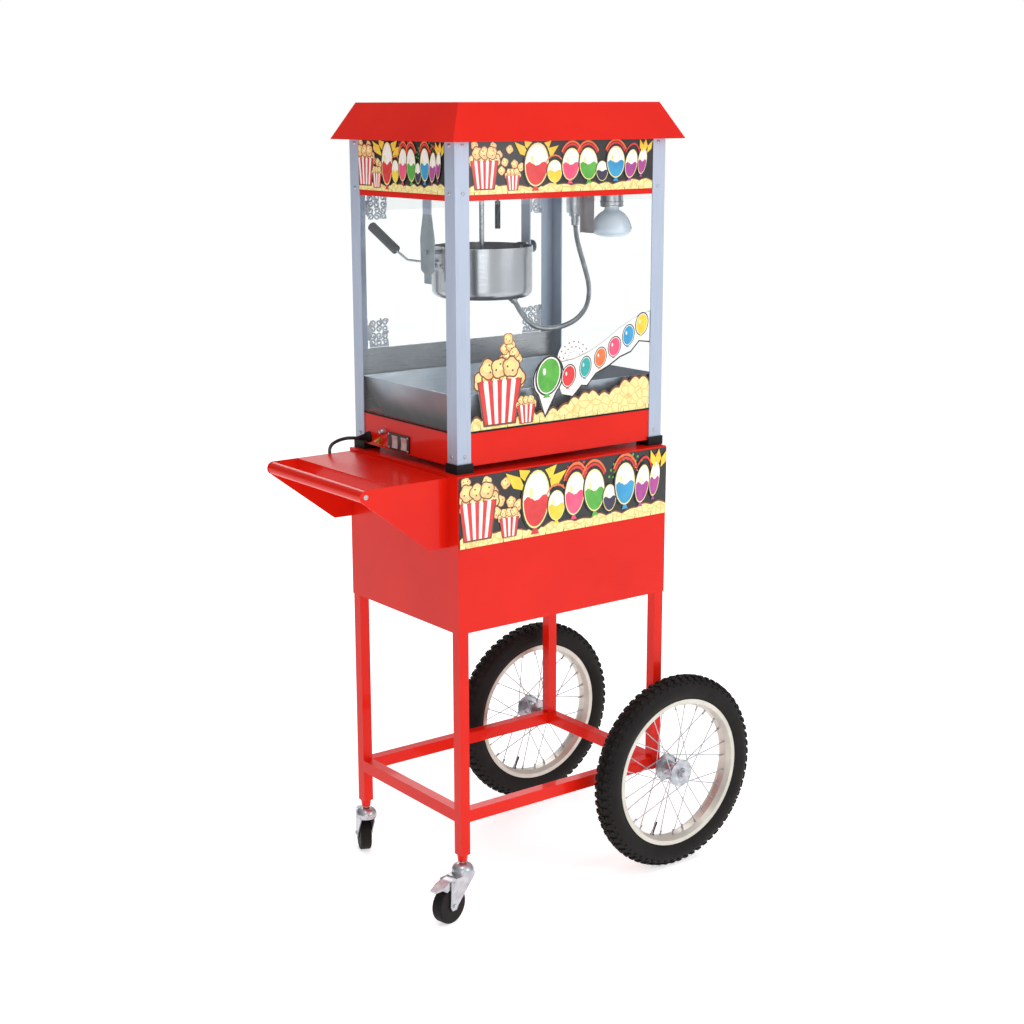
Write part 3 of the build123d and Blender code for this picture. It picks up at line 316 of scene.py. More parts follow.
# %% [markdown]
# The panes are clear float glass. A pane this thin hardly bends light anyway, so it is a
# mix: see-through face on, and a mirror at a glancing angle.

# %% Glass and lamp
def clear_glass(name, pass_through):
    material, tree, shader = new_finish(name)
    shader.inputs["Base Color"].default_value = (0.95, 0.97, 0.97, 1)
    shader.inputs["Metallic"].default_value = 1.0
    smear = pattern(tree, 6, detail=4.0)
    tree.links.new(between(tree, smear, 0.0, 0.03), shader.inputs["Roughness"])
    clear = tree.nodes.new("ShaderNodeBsdfTransparent")
    clear.inputs["Color"].default_value = pass_through
    facing = tree.nodes.new("ShaderNodeLayerWeight")
    facing.inputs["Blend"].default_value = 0.5
    glance = tree.nodes.new("ShaderNodeMath")
    glance.operation = "POWER"
    glance.inputs[1].default_value = 5.0
    tree.links.new(facing.outputs["Facing"], glance.inputs[0])
    mix = tree.nodes.new("ShaderNodeMixShader")
    tree.links.new(between(tree, glance.outputs["Value"], 0.02, 0.85, 0.0, 1.0), mix.inputs["Fac"])
    tree.links.new(clear.outputs["BSDF"], mix.inputs[1])
    tree.links.new(shader.outputs["BSDF"], mix.inputs[2])
    tree.links.new(mix.outputs["Shader"], tree.nodes["Material Output"].inputs["Surface"])
    return material


pane_glass = clear_glass("float_glass", (0.985, 0.995, 0.994, 1))
lamp_glass = surface("frosted_lamp_glass", (226, 236, 246), (208, 222, 236), (0.12, 0.2), cloud=10,
                     grain=300, relief=0.02, coat=0.6)
lamp_shader = lamp_glass.node_tree.nodes["Principled BSDF"]
lamp_shader.inputs["Subsurface Weight"].default_value = 0.2
lamp_shader.inputs["Subsurface Radius"].default_value = (0.01, 0.01, 0.01)
print("glass:", pane_glass.name, lamp_glass.name)

# %% [markdown]
# ## Dressing the mechanical parts
# Most parts already have their true shape, and only need their finish. Each node name is what
# a person in the workshop would call the part.

# %% Finishes of the carried-over parts
dressed = {
    red_paint: ["cart_legs", "lower_rails", "cart_top", "cart_panels", "cupboard_floor", "push_shelf",
                "push_handle", "base_housing", "header_frame", "roof"],
    post_aluminium: ["corner_posts", "kettle_hangers"],
    stainless: ["ceiling_plate", "back_panel", "drive_shaft", "crumb_drawer"],
    bin_steel: ["popcorn_bin"],
    pot_steel: ["kettle_pot", "stir_rod", "agitator"],
    zinc: ["main_axle", "front_caster_fork", "rear_caster_fork", "front_caster_brake",
           "rear_caster_brake", "door_hinge_leaves", "frame_screws", "front_hub", "rear_hub",
           "front_spokes", "rear_spokes", "kettle_handle", "ceiling_sockets", "kettle_conduit"],
    rim_alloy: ["front_rim", "rear_rim"],
    tyre_rubber: ["front_tyre", "rear_tyre", "front_caster_wheel", "rear_caster_wheel"],
    soft_rubber: ["rubber_feet"],
    pane_glass: ["front_glass", "side_glasses", "left_door", "right_door"],
    black_plastic: ["control_bezel", "mains_plug", "cord_gland"],
    grip_plastic: ["kettle_grip", "lift_lever"],
    rocker_plastic: ["heat_switch", "motor_switch"],
    motor_paint: ["gear_motor"],
    lamp_glass: ["lamp_bulb"],
    brass: ["panel_terminals"],
    cord_jacket: ["mains_cord", "cord_coil"],
}
for finish, names in dressed.items():
    for name in names:
        nodes[name].data.materials.clear()
        nodes[name].data.materials.append(finish)
left_out = sorted(set(nodes) - {name for names in dressed.values() for name in names})
print("parts with no finish yet:", left_out)

# %% [markdown]
# ## The mains cord
# The cord is a fixed length, about 1.8 m of 7 mm rubber lead. It leaves the gland, arcs out
# over the edge of the shelf and drops behind the cart, and what isn't in use is wound into a
# coil on the cupboard floor with its plug beside it. It is one smooth line: a few listed
# points for the free stretch, and a loop of turns for the coil. The coil winds inwards on the
# floor, climbs once, and winds outwards again on top of itself.

# %% Mains cord
CORD_R = 3.5
mains_route = [
    (-272.0, 140.0, 920.0), (-284.0, 141.0, 922.0), (-298.0, 147.0, 922.0), (-310.0, 160.0, 916.0),
    (-314.0, 178.0, 905.0), (-309.0, 194.0, 888.0), (-299.0, 200.0, 864.0), (-285.0, 203.0, 838.0),
    (-266.0, 205.0, 812.0), (-243.0, 206.0, 786.0), (-221.0, 203.0, 756.0), (-208.0, 194.0, 722.0),
    (-201.0, 176.0, 687.0), (-199.0, 150.0, 655.0), (-198.5, 122.0, 628.0), (-198.0, 95.0, 608.0),
    (-197.6, 70.0, 598.0),
]
COIL_X, COIL_Y = -150.0, 40.0
COIL_TURNS, INWARD_TURNS, CLIMB_TURNS = 5.5, 2.6, 0.35
PITCH = 7.6
COIL_OUTER, COIL_FLOOR, COIL_STEP = 47.6, 592.0, 7.3
STEPS_A_TURN = 16


def coil_place(turns):
    """Where the middle of the cord is, that many turns into the coil."""
    climbed = min(max((turns - INWARD_TURNS) / CLIMB_TURNS, 0), 1)
    inward = min(turns, INWARD_TURNS)
    outward = max(turns - INWARD_TURNS - CLIMB_TURNS, 0)
    radius = (COIL_OUTER - PITCH * inward + PITCH * outward) * 1.013
    height = COIL_FLOOR + COIL_STEP * climbed * climbed * (3 - 2 * climbed)
    angle = math.pi + math.tau * turns
    return (COIL_X + radius * math.cos(angle), COIL_Y + radius * math.sin(angle), height)


coil_turns = [coil_place(k / STEPS_A_TURN) for k in range(1, int(COIL_TURNS * STEPS_A_TURN) + 1)]
landing = [(-198.0, 52.0, 594.0)]
plug_lead = [(COIL_X + 47.0, 56.0, 599.6), (COIL_X + 47.0, 66.0, 600.0)]
cord_places = [at(*p) for p in mains_route + landing + coil_turns + plug_lead]
cord_data = smooth_line("mains_cord_line", cord_places, CORD_R * MM, fine=8)
cord_data.materials.append(cord_jacket)
mains_cord = bpy.data.objects.new("mains_cord_lead", cord_data)
bpy.context.scene.collection.objects.link(mains_cord)
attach(mains_cord, "frame")
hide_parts("mains_cord", "cord_coil")
cord_length = points_along(cord_places, 0.005)[1]
print("mains cord", round(cord_length, 3), "m")

# %% [markdown]
# ## The heater lead
# The heater in the kettle's base gets its current through a flexible metal hose, which hangs
# in a loop from the ceiling and lets the kettle tip. Such a hose is a strip wound in a spiral,
# so it looks ribbed. The line is sampled evenly, and every other point gets a smaller radius.

# %% Ribbed metal hose
conduit_route = [
    (157.0, -17.0, 1345.0), (159.0, -17.0, 1316.0), (170.0, -18.0, 1280.0), (185.0, -17.0, 1243.0),
    (197.0, -17.0, 1206.0), (192.0, -17.0, 1168.0), (165.0, -17.0, 1142.0), (127.0, -17.0, 1130.0),
    (88.0, -17.0, 1127.0), (53.0, -17.0, 1135.0), (25.0, -17.0, 1157.0), (7.4, -17.0, 1183.8),
    (-2.02, -17.0, 1196.36),
]
HOSE_R, RIB = 5.5, 1.3
hose_places = [at(*p) for p in conduit_route]
hose_points, hose_length = points_along(hose_places, RIB * MM)
hose_data = bpy.data.curves.new("hose", "CURVE")
hose_data.dimensions = "3D"
hose_line = hose_data.splines.new("POLY")
hose_line.points.add(len(hose_points) - 1)
for k, (knot, place) in enumerate(zip(hose_line.points, hose_points)):
    knot.co = (*place, 1)
    knot.radius = 1.0 if k % 2 else 0.84
hose_data.bevel_depth = HOSE_R * MM
hose_data.bevel_resolution = 3
hose_data.use_fill_caps = True
hose = add_mesh("heater_lead_hose", curve_mesh(hose_data), zinc, "frame", ["kettle_conduit"], 60)
hose.parent = None
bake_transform(hose)
print("metal hose", round(hose_length, 3), "m")

# %% [markdown]
# ## Shapes made by turning
# A lathe makes most small round things: knobs, rivets, hubs, sleeves. Blender's match for a
# lathe is the spin operator. It sweeps a half-profile once round an axis and merges the seam,
# and a profile that starts and ends on the axis gives a closed solid.


# %% A lathe and a few other shop tools
def spun(profile, place, axis=(0, 0, 1), steps=28, finish=0):
    """A turned solid. The profile is pairs of radius and height in millimetres along the axis."""
    bm = bmesh.new()
    verts = [bm.verts.new((r * MM, 0, h * MM)) for r, h in profile]
    edges = [bm.edges.new(pair) for pair in zip(verts, verts[1:])]
    bmesh.ops.spin(bm, geom=verts + edges, cent=(0, 0, 0), axis=(0, 0, 1), angle=math.tau,
                   steps=steps, use_merge=True)
    bmesh.ops.remove_doubles(bm, verts=bm.verts, dist=1e-7)
    turn = Vector((0, 0, 1)).rotation_difference(Vector(axis)).to_matrix().to_4x4()
    bmesh.ops.transform(bm, matrix=Matrix.Translation(place) @ turn, verts=bm.verts)
    for face in bm.faces:
        face.material_index = finish
    return bm


def cushion_block(x, y, z, edge=0.6, segments=2, finish=0):
    """A block between pairs of faces, in millimetres, with its edges rounded over."""
    bm = bmesh.new()
    bmesh.ops.create_cube(bm, size=1.0)
    bmesh.ops.scale(bm, vec=at(x[1] - x[0], y[1] - y[0], z[1] - z[0]), verts=bm.verts)
    middle = at((x[0] + x[1]) / 2, (y[0] + y[1]) / 2, (z[0] + z[1]) / 2)
    bmesh.ops.translate(bm, vec=middle, verts=bm.verts)
    bmesh.ops.bevel(bm, geom=bm.edges[:], offset=edge * MM, segments=segments, affect="EDGES",
                    profile=0.5, material=-1)
    for face in bm.faces:
        face.material_index = finish
    return bm


def gather(parts):
    """Several bmeshes as one."""
    whole = bmesh.new()
    for part in parts:
        bmesh.ops.recalc_face_normals(part, faces=part.faces)
        mesh = bpy.data.meshes.new("part")
        part.to_mesh(mesh)
        part.free()
        whole.from_mesh(mesh)
        bpy.data.meshes.remove(mesh)
    return whole


def repeat_round(bm, geom, count, axis, centre=(0, 0, 0)):
    """Copies a shape to equal places round an axis."""
    for k in range(1, count):
        made = bmesh.ops.duplicate(bm, geom=geom)["geom"]
        verts = [item for item in made if isinstance(item, bmesh.types.BMVert)]
        bmesh.ops.rotate(bm, verts=verts, cent=centre, matrix=Matrix.Rotation(math.tau * k / count, 3, axis))


# %% [markdown]
# ## Tyres
# The big wheels carry knobbly bicycle tyres. A tyre is an open rubber casing, moulded in one
# with three rows of blocks: paired blocks along the crown and angled ones on the shoulders.
# The casing is spun from its section. One block is made and bevelled, then copied round.


# %% Knobbly tyres
def middle_of(node, axis):
    """The middle of a part along one axis, in millimetres."""
    return (low(node, axis) + high(node, axis)) / 2


AXLE = at(middle_of("front_rim", 0), 0, middle_of("front_rim", 2))
WHEEL_Y = {word: middle_of(f"{word}_rim", 1) for word in ("front", "rear")}
TYRE_R = (high("rear_tyre", 0) - low("rear_tyre", 0)) / 2
CROWN_R, CASING_R, CASING_WALL = TYRE_R - 3.2, 25.6, 4.0
BEAD_R, BEAD_HALF = 153.0, 15.5
BLOCKS = 66


def tyre_section():
    """The casing's closed section, as radius and place along the axle."""
    centre = CROWN_R - CASING_R
    outside, inside = [], []
    for k in range(-10, 11):
        angle = math.radians(13.6 * k)
        outside.append((centre + CASING_R * math.cos(angle), CASING_R * math.sin(angle)))
        inner = CASING_R - CASING_WALL
        inside.append((max(centre + inner * math.cos(angle), BEAD_R + 6), inner * math.sin(angle)))
    bead = [(BEAD_R, BEAD_HALF), (BEAD_R, BEAD_HALF - 6)]
    return outside + bead + inside[::-1] + [(BEAD_R, 6 - BEAD_HALF), (BEAD_R, -BEAD_HALF)]


def tread_blocks(bm, radius, along, lean, size, start):
    """One row of blocks: a bevelled cube set on the casing and copied round the axle."""
    made = bmesh.ops.create_cube(bm, size=1.0)["verts"]
    bmesh.ops.scale(bm, vec=at(*size), verts=made)
    edges = list({edge for v in made for edge in v.link_edges})
    bevelled = bmesh.ops.bevel(bm, geom=edges, offset=0.9 * MM, segments=1, affect="EDGES", profile=0.5,
                               material=-1)
    block = list({v for face in bevelled["faces"] for v in face.verts})
    bmesh.ops.rotate(bm, verts=block, cent=(0, 0, 0), matrix=Matrix.Rotation(math.radians(lean), 3, "Z"))
    bmesh.ops.rotate(bm, verts=block, cent=(0, 0, 0),
                     matrix=Matrix.Rotation(math.radians(-3.1 * along), 3, "X"))
    bmesh.ops.translate(bm, vec=at(0, along, radius), verts=block)
    bmesh.ops.rotate(bm, verts=block, cent=(0, 0, 0), matrix=Matrix.Rotation(start, 3, "Y"))
    edges = list({e for v in block for e in v.link_edges})
    faces = list({f for v in block for f in v.link_faces})
    repeat_round(bm, block + edges + faces, BLOCKS, "Y")


for word in ("front", "rear"):
    bm = bmesh.new()
    section = [bm.verts.new(at(r, a, 0)) for r, a in tyre_section()]
    loop = [bm.edges.new(pair) for pair in zip(section, section[1:] + section[:1])]
    bmesh.ops.spin(bm, geom=section + loop, cent=(0, 0, 0), axis=(0, 1, 0), angle=math.tau, steps=132,
                   use_merge=True)
    bmesh.ops.remove_doubles(bm, verts=bm.verts, dist=1e-7)
    bmesh.ops.recalc_face_normals(bm, faces=bm.faces)
    half_step = math.pi / BLOCKS
    tread_blocks(bm, CROWN_R + 0.6, 4.6, 0, (11, 7.2, 5), 0)
    tread_blocks(bm, CROWN_R + 0.6, -4.6, 0, (11, 7.2, 5), half_step)
    for side in (-1, 1):
        tread_blocks(bm, CROWN_R - 2.6, 13.6 * side, 14 * side, (9.5, 7.5, 5), half_step * (1 - side) / 2)
        tread_blocks(bm, CROWN_R - 9.8, 20.6 * side, 0, (6, 5, 4), half_step * (1 + side) / 2)
    bmesh.ops.translate(bm, vec=AXLE + at(0, WHEEL_Y[word], 0), verts=bm.verts)
    add_piece(f"{word}_knobbly_tyre", bm, tyre_rubber, f"{word}_wheel", [f"{word}_tyre"],
              35, closed=False)

# %% [markdown]
# Each spoke ends in a nipple, a tiny threaded sleeve that pulls it tight against the rim, and
# each rim has one valve. They are small, but they are what makes a wheel look laced.

# %% Spoke nipples and valves
SPOKES = 28
RIM_INNER = 143.2
VALVE_ANGLE = 4.3
NIPPLE = [(0, 0.4), (2.6, 0.4), (2.6, 1.6), (1.9, 2.2), (1.7, 9.5), (1.2, 10.4), (0, 10.4)]
STEM = [(0, 0), (4.5, 0), (4.5, 2), (2.6, 3), (2.6, 20), (3.1, 20.5), (3.1, 27), (2.4, 28.5), (0, 28.5)]
for word in ("front", "rear"):
    parts = []
    centre = AXLE + at(0, WHEEL_Y[word], 0)
    for k in range(SPOKES):
        out = math.tau * k / SPOKES
        flange = 1 if k % 2 == 0 else -1
        ray = Vector((math.cos(out), flange * 0.1, math.sin(out))).normalized()
        foot = centre + Vector((math.cos(out), 0, math.sin(out))) * RIM_INNER * MM + at(0, 3.0 * flange, 0)
        parts.append(spun(NIPPLE, foot, -ray, steps=6))
    ray = Vector((math.cos(VALVE_ANGLE), 0, math.sin(VALVE_ANGLE)))
    parts.append(spun(STEM, centre + ray * RIM_INNER * MM, -ray, steps=14, finish=1))
    add_piece(f"{word}_nipples_and_valve", gather(parts), [zinc, soft_rubber], f"{word}_wheel")

# %% [markdown]
# ## Screws
# Pan-head machine screws hold the posts to the panels. A head is a low dome with a cross
# pressed into it. Rings of a circle are stacked and bridged; the innermost ring is pulled into
# a four-pointed star and sunk, which leaves a real recess that catches a shadow.


# %% Cross-recessed screws
def screw_head(place, axis, radius=3.6, rise=2.0):
    """A domed head with a cross recess, sitting at a place and facing along an axis."""
    bm = bmesh.new()
    rings = [(1.0, 0.0, False), (1.0, 0.35, False), (0.78, 0.8, False), (0.5, 1.0, True), (0.42, 0.45, True)]
    last = None
    for share, lift, star in rings:
        ring = bmesh.ops.create_circle(bm, segments=16, radius=radius * share * MM, cap_ends=False)["verts"]
        if star:
            for k, v in enumerate(ring):
                v.co *= (1.0, 0.42, 0.32, 0.42)[k % 4]
        bmesh.ops.translate(bm, vec=at(0, 0, rise * lift), verts=ring)
        edges = list({e for v in ring for e in v.link_edges if e.other_vert(v) in ring})
        if last:
            bmesh.ops.bridge_loops(bm, edges=last + edges)
        last = edges
    bmesh.ops.contextual_create(bm, geom=last)
    bmesh.ops.holes_fill(bm, edges=bm.edges[:], sides=0)
    turn = Vector((0, 0, 1)).rotation_difference(Vector(axis)).to_matrix().to_4x4()
    bmesh.ops.transform(bm, matrix=Matrix.Translation(place) @ turn, verts=bm.verts)
    return bm


POST_X = (low("corner_posts", 0), high("corner_posts", 0))
POST_Y = (low("corner_posts", 1), high("corner_posts", 1))
SCREW_INSET = 18.0
LOW_SCREW, HIGH_SCREW, TOP_SCREW = 925.0, 1414.0, 1500.0
HANDLE_X, HANDLE_Z = -445.0, 874.0
screws = []
for z in (LOW_SCREW, HIGH_SCREW, TOP_SCREW):
    for x in (POST_X[0] + SCREW_INSET, POST_X[1] - SCREW_INSET):
        screws.append(screw_head(at(x, POST_Y[0], z), (0, -1, 0)))
        if z != HIGH_SCREW:
            screws.append(screw_head(at(x, POST_Y[1], z), (0, 1, 0)))
    for y in (POST_Y[0] + SCREW_INSET, POST_Y[1] - SCREW_INSET):
        screws.append(screw_head(at(POST_X[0], y, z), (-1, 0, 0)))
        screws.append(screw_head(at(POST_X[1], y, z), (1, 0, 0)))
BEZEL_FACE = low("control_bezel", 0)
for y in (-4.3, 62.3):
    for z in (911.5, 937.5):
        screws.append(screw_head(at(BEZEL_FACE, y, z), (-1, 0, 0), radius=2.4))
screws.append(screw_head(at(HANDLE_X, low("push_shelf", 1), HANDLE_Z), (0, -1, 0), radius=5))
screws.append(screw_head(at(HANDLE_X, high("push_shelf", 1), HANDLE_Z), (0, 1, 0), radius=5))
add_piece("panel_screws", gather(screws), zinc, "frame", ["frame_screws"], 30)

# %% [markdown]
# ## Scroll hinges
# The doors hang on cast ornamental plates, a thicket of small scrolls in bright metal. Each
# scroll is a short spiral of round bar. A plate is a grid of them, turned this way and that,
# inside a beaded edge, and it sits flat on the glass with a turned barrel beside it.


# %% Scroll plates, barrels and pulls
def spiral(x, y, z, size, hand, start):
    """A curl in an upright plane that faces the back; hand says which way it winds."""
    turns = [k / 11 for k in range(12)]
    return [at(x + hand * size * (1.02 - 0.82 * t) * math.cos(start + 8.4 * t), y,
               z + size * (1.02 - 0.82 * t) * math.sin(start + 8.4 * t)) for t in turns]


def scroll_plate(name, x, y, z):
    """Scrolls over a plate area; x and z are its pairs of edges."""
    data = bpy.data.curves.new(name, "CURVE")
    data.dimensions = "3D"
    chance = random.Random(round(x[0] + z[0]))
    columns, rows, curl = 3, 4, 8.0
    for col in range(columns):
        for row in range(rows):
            cx = x[0] + curl + (x[1] - x[0] - 2 * curl) * col / (columns - 1)
            cz = z[0] + curl + (z[1] - z[0] - 2 * curl) * row / (rows - 1)
            hand = 1 if (col + row) % 2 else -1
            places = spiral(cx, y, cz, curl, hand, chance.uniform(0, math.tau))
            line = data.splines.new("NURBS")
            line.points.add(len(places) - 1)
            for knot, place in zip(line.points, places):
                knot.co = (*place, 1)
            line.order_u = 3
            line.use_endpoint_u = True
    data.resolution_u = 3
    data.bevel_depth = 1.9 * MM
    data.bevel_resolution = 1
    data.use_fill_caps = True
    bm = bmesh.new()
    bm.from_mesh(curve_mesh(data))
    return bm


PULL_Z = 1240.0
PULL = [(0, 0), (8, 0), (8, 1.2), (4.2, 3), (3.8, 9), (8.6, 11), (10, 13.5), (9, 16.4), (5, 17.8), (0, 18)]
MEETING_X = 7.0
DOOR_FACE = high("left_door", 1)
HINGE_Y = DOOR_FACE + 6.5
for word, sign in (("left", 1), ("right", -1)):
    door_x = (low(f"{word}_door", 0), high(f"{word}_door", 0))
    hinge_x = door_x[0] - 4 if sign > 0 else door_x[1] + 4
    parts = []
    for bottom, top in ((1094.0, 1150.0), (1346.0, 1399.0)):
        edges = sorted((hinge_x + sign * 4, hinge_x + sign * 50))
        parts.append(scroll_plate(f"{word}_scrolls", edges, DOOR_FACE + 2.0, (bottom, top)))
        bar_z = (bottom - 1.5, bottom + 3.5) if bottom < PULL_Z else (top - 3.5, top + 1.5)
        parts.append(cushion_block(edges, (DOOR_FACE + 0.2, DOOR_FACE + 3.4), bar_z, 1.2, 2))
        for x in (edges[0] + 4, edges[1] - 4):
            for z in (bottom + 6, (bottom + top) / 2, top - 6):
                parts.append(spun([(0, 0), (3.2, 0), (3.2, 1.2), (2.2, 2.3), (0, 2.6)],
                                  at(x, DOOR_FACE, z), (0, 1, 0), steps=12))
        knuckle = (bottom + 12, top - 12)
        barrel = [(2.3, knuckle[0]), (4, knuckle[0] + 0.5), (4, knuckle[1] - 0.5), (2.3, knuckle[1]),
                  (2.1, knuckle[1]), (2.1, knuckle[0]), (2.3, knuckle[0])]
        parts.append(spun(barrel, at(hinge_x, HINGE_Y, 0), steps=20))
        arm = sorted((hinge_x + sign * 2.5, hinge_x + sign * 7))
        parts.append(cushion_block(arm, (DOOR_FACE + 0.2, HINGE_Y), knuckle, 0.5, 1))
    pull_x = MEETING_X - sign * 18
    parts.append(spun(PULL, at(pull_x, DOOR_FACE, PULL_Z), (0, 1, 0)))
    add_piece(f"{word}_scroll_hinges", gather(parts), scroll_silver, f"{word}_door_leaf",
              [f"{word}_door_fittings"], 50)

# %% [markdown]
# ## Strain relief, cable tie and hose ends
# Where the cord leaves the housing a tapered rubber sleeve stops it from kinking. Its ribs let
# it bend a little more towards the tip. The coil is held by a nylon tie, and the metal hose
# is clamped by a turned nut at each end.

# %% Cord and hose fittings
PANEL_X = low("base_housing", 0)
relief = [(0, 8), (7.9, 8), (7.9, 0), (11, 0), (11, -4), (9.6, -6), (8.4, -6.4)]
for k in range(5):
    start = -7.2 - 3.6 * k
    radius = 8.2 - 0.78 * k
    relief += [(radius, start), (radius, start - 2.1)]
    relief += [(radius - 1.6, start - 2.5), (radius - 1.7, start - 3.3)]
relief += [(4.7, -25.4), (4.4, -26), (0, -26)]
gland = at(PANEL_X, *mains_route[0][1:])
add_piece("cord_strain_relief", spun(relief, gland, (1, 0, 0), steps=32), soft_rubber, "frame",
          ["cord_gland"])

TIE_MIDDLE = at(COIL_X, COIL_Y - 37.5, 595.7)
tie = spun([(8.2, -1.8), (9.2, -1.8), (9.2, 1.8), (8.2, 1.8), (8.2, -1.8)], at(0, 0, 0), (1, 0, 0), steps=36)
bmesh.ops.scale(tie, vec=(1.0, 1.72, 0.83), verts=tie.verts)
bmesh.ops.translate(tie, vec=TIE_MIDDLE, verts=tie.verts)
lock = cushion_block((COIL_X - 3, COIL_X + 3), (COIL_Y - 40, COIL_Y - 34), (603.0, 607.0), 0.6, 2)
add_piece("coil_cable_tie", gather([tie, lock]), black_plastic, "frame")

nut = [(0, -9), (6.6, -9), (7.6, -8), (7.6, -2), (8.4, -1.4), (8.4, 3), (7.4, 4), (0, 4)]
hose_nut = spun(nut, hose_points[0] - at(0, 0, 3), (0, 0, 1), steps=12)
add_piece("hose_ceiling_nut", hose_nut, zinc, "frame", smooth_below=25)
last_run = (hose_points[-1] - hose_points[-6]).normalized()
add_piece("hose_kettle_nut", spun(nut, hose_points[-1], last_run, steps=12), zinc, "kettle",
          smooth_below=25)

# %% [markdown]
# ## Printed boards
# The header boards and the board on the cart are printed plastic sheets. A print has no
# thickness to speak of, but shapes that lie a hair apart, each with its own ink, give the
# crisp edges of a real screen print from any distance. A small helper lays flat shapes on a
# board, one over another. Places are shares of the board's width and height, so that one
# design fits every board, stretched as a printer would stretch it.

# %% Inks
INKS = {
    "black": ((24, 22, 24), (16, 15, 17)), "cream": ((246, 233, 160), (238, 222, 138)),
    "white": ((250, 248, 242), (240, 238, 230)), "red": ((226, 50, 48), (210, 36, 40)),
    "yellow": ((246, 214, 60), (236, 196, 40)), "pink": ((238, 88, 128), (226, 66, 110)),
    "green": ((92, 180, 62), (70, 160, 48)), "cyan": ((46, 158, 206), (30, 140, 192)),
    "navy": ((48, 44, 78), (38, 34, 64)), "magenta": ((176, 66, 150), (156, 50, 134)),
    "orange": ((244, 122, 60), (234, 104, 46)), "popcorn": ((244, 186, 118), (250, 212, 150)),
    "brown": ((122, 66, 34), (104, 54, 28)), "teal": ((40, 176, 170), (24, 158, 156)),
    "violet": ((120, 84, 170), (104, 70, 156)),
}
INK_NAMES = list(INKS)
inks = [surface(f"{name}_ink", *INKS[name], (0.28, 0.36), cloud=45, grain=2600, relief=0.04, coat=0.35,
                coat_rough=0.08) for name in INK_NAMES]
print(len(inks), "inks")

# %% [markdown]
# The heap of popcorn along the bottom of every board gets an ink of its own. Cells of a
# Voronoi pattern stand for the puffs, with a thin tan line where two of them meet.

# %% Popcorn ink
heap_ink, heap_tree, heap_shader = new_finish("popcorn_heap_ink")
heap_place = heap_tree.nodes.new("ShaderNodeTexCoord")
heap_cells = heap_tree.nodes.new("ShaderNodeTexVoronoi")
heap_cells.feature = "DISTANCE_TO_EDGE"
heap_cells.inputs["Scale"].default_value = 62.0
heap_tree.links.new(heap_place.outputs["Object"], heap_cells.inputs["Vector"])
heap_line = between(heap_tree, heap_cells.outputs["Distance"], 0.0, 1.0, 0.0, 0.09)
heap_puff = blend_colours(heap_tree, pattern(heap_tree, 130), tint(248, 238, 176), tint(236, 216, 132))
heap_tree.links.new(blend_colours(heap_tree, heap_line, tint(222, 190, 104), heap_puff),
                    heap_shader.inputs["Base Color"])
heap_shader.inputs["Roughness"].default_value = 0.34
heap_shader.inputs["Coat Weight"].default_value = 0.35
inks.append(heap_ink)
INK_NAMES.append("heap")

# %% [markdown]
# The shapes themselves are plain formulas: a puff is a lobed ring, a balloon is an egg with a
# knot, and a firework is dots on a few rays. The balloons stand in a row and differ in size
# and colour. Each has a black edge, a white cap and a bright body.


# %% A board to print on, and the shapes
class Board:
    """Flat inked shapes on an upright board."""

    FIRST, STEP = 0.04 * MM, 0.006 * MM
    MARGIN = 0.002

    def __init__(self, corner, right, outward, width, height):
        self.corner, self.right, self.outward = corner, Vector(right), Vector(outward)
        self.width, self.height, self.outlines = width * MM, height * MM, []
        self.bm = bmesh.new()

    def fill(self, outline, ink):
        """One shape, a hair above the last. Its outline is in shares of width and height."""
        outline = [(min(max(u, self.MARGIN), 1 - self.MARGIN), min(max(v, 0), 1 - self.MARGIN))
                   for u, v in outline]
        self.outlines.append(outline)
        self.face(outline, ink, self.FIRST + self.STEP * len(self.outlines), 1)

    def face(self, outline, ink, lift, side):
        """A flat shape at a height over the board, seen from the front (1) or from behind (-1)."""
        verts = [self.bm.verts.new(self.corner + self.right * u * self.width + Vector((0, 0, v * self.height))
                                   + self.outward * lift) for u, v in outline]
        face = self.bm.faces.new(verts)
        face.material_index = INK_NAMES.index(ink)
        face.normal_update()
        if face.normal.dot(self.outward) * side < 0:
            face.normal_flip()

    def back_with(self, ink):
        """Lays every shape again under the picture, for a transfer that is seen through glass."""
        for k, outline in enumerate(self.outlines):
            self.face(outline, ink, self.FIRST * (0.9 - 0.8 * k / len(self.outlines)), -1)

    def aspect(self):
        """Height over width, which keeps a round shape round."""
        return self.height / self.width

    def done(self, name, body):
        """Makes the picture a piece."""
        bmesh.ops.triangulate(self.bm, faces=self.bm.faces)
        return add_piece(name, self.bm, inks, body, smooth_below=0, closed=False)


def ring(cu, cv, ru, rv, shape=lambda a: 1.0, count=28, start=0.0, sweep=math.tau, lean=0.0):
    """Points round a middle; the shape function says how far out each one lies."""
    points = []
    for k in range(count):
        angle = start + sweep * k / (count if sweep == math.tau else count - 1)
        x, y = shape(angle) * math.cos(angle), shape(angle) * math.sin(angle)
        x += lean * y
        points.append((cu + ru * x, cv + rv * y))
    return points


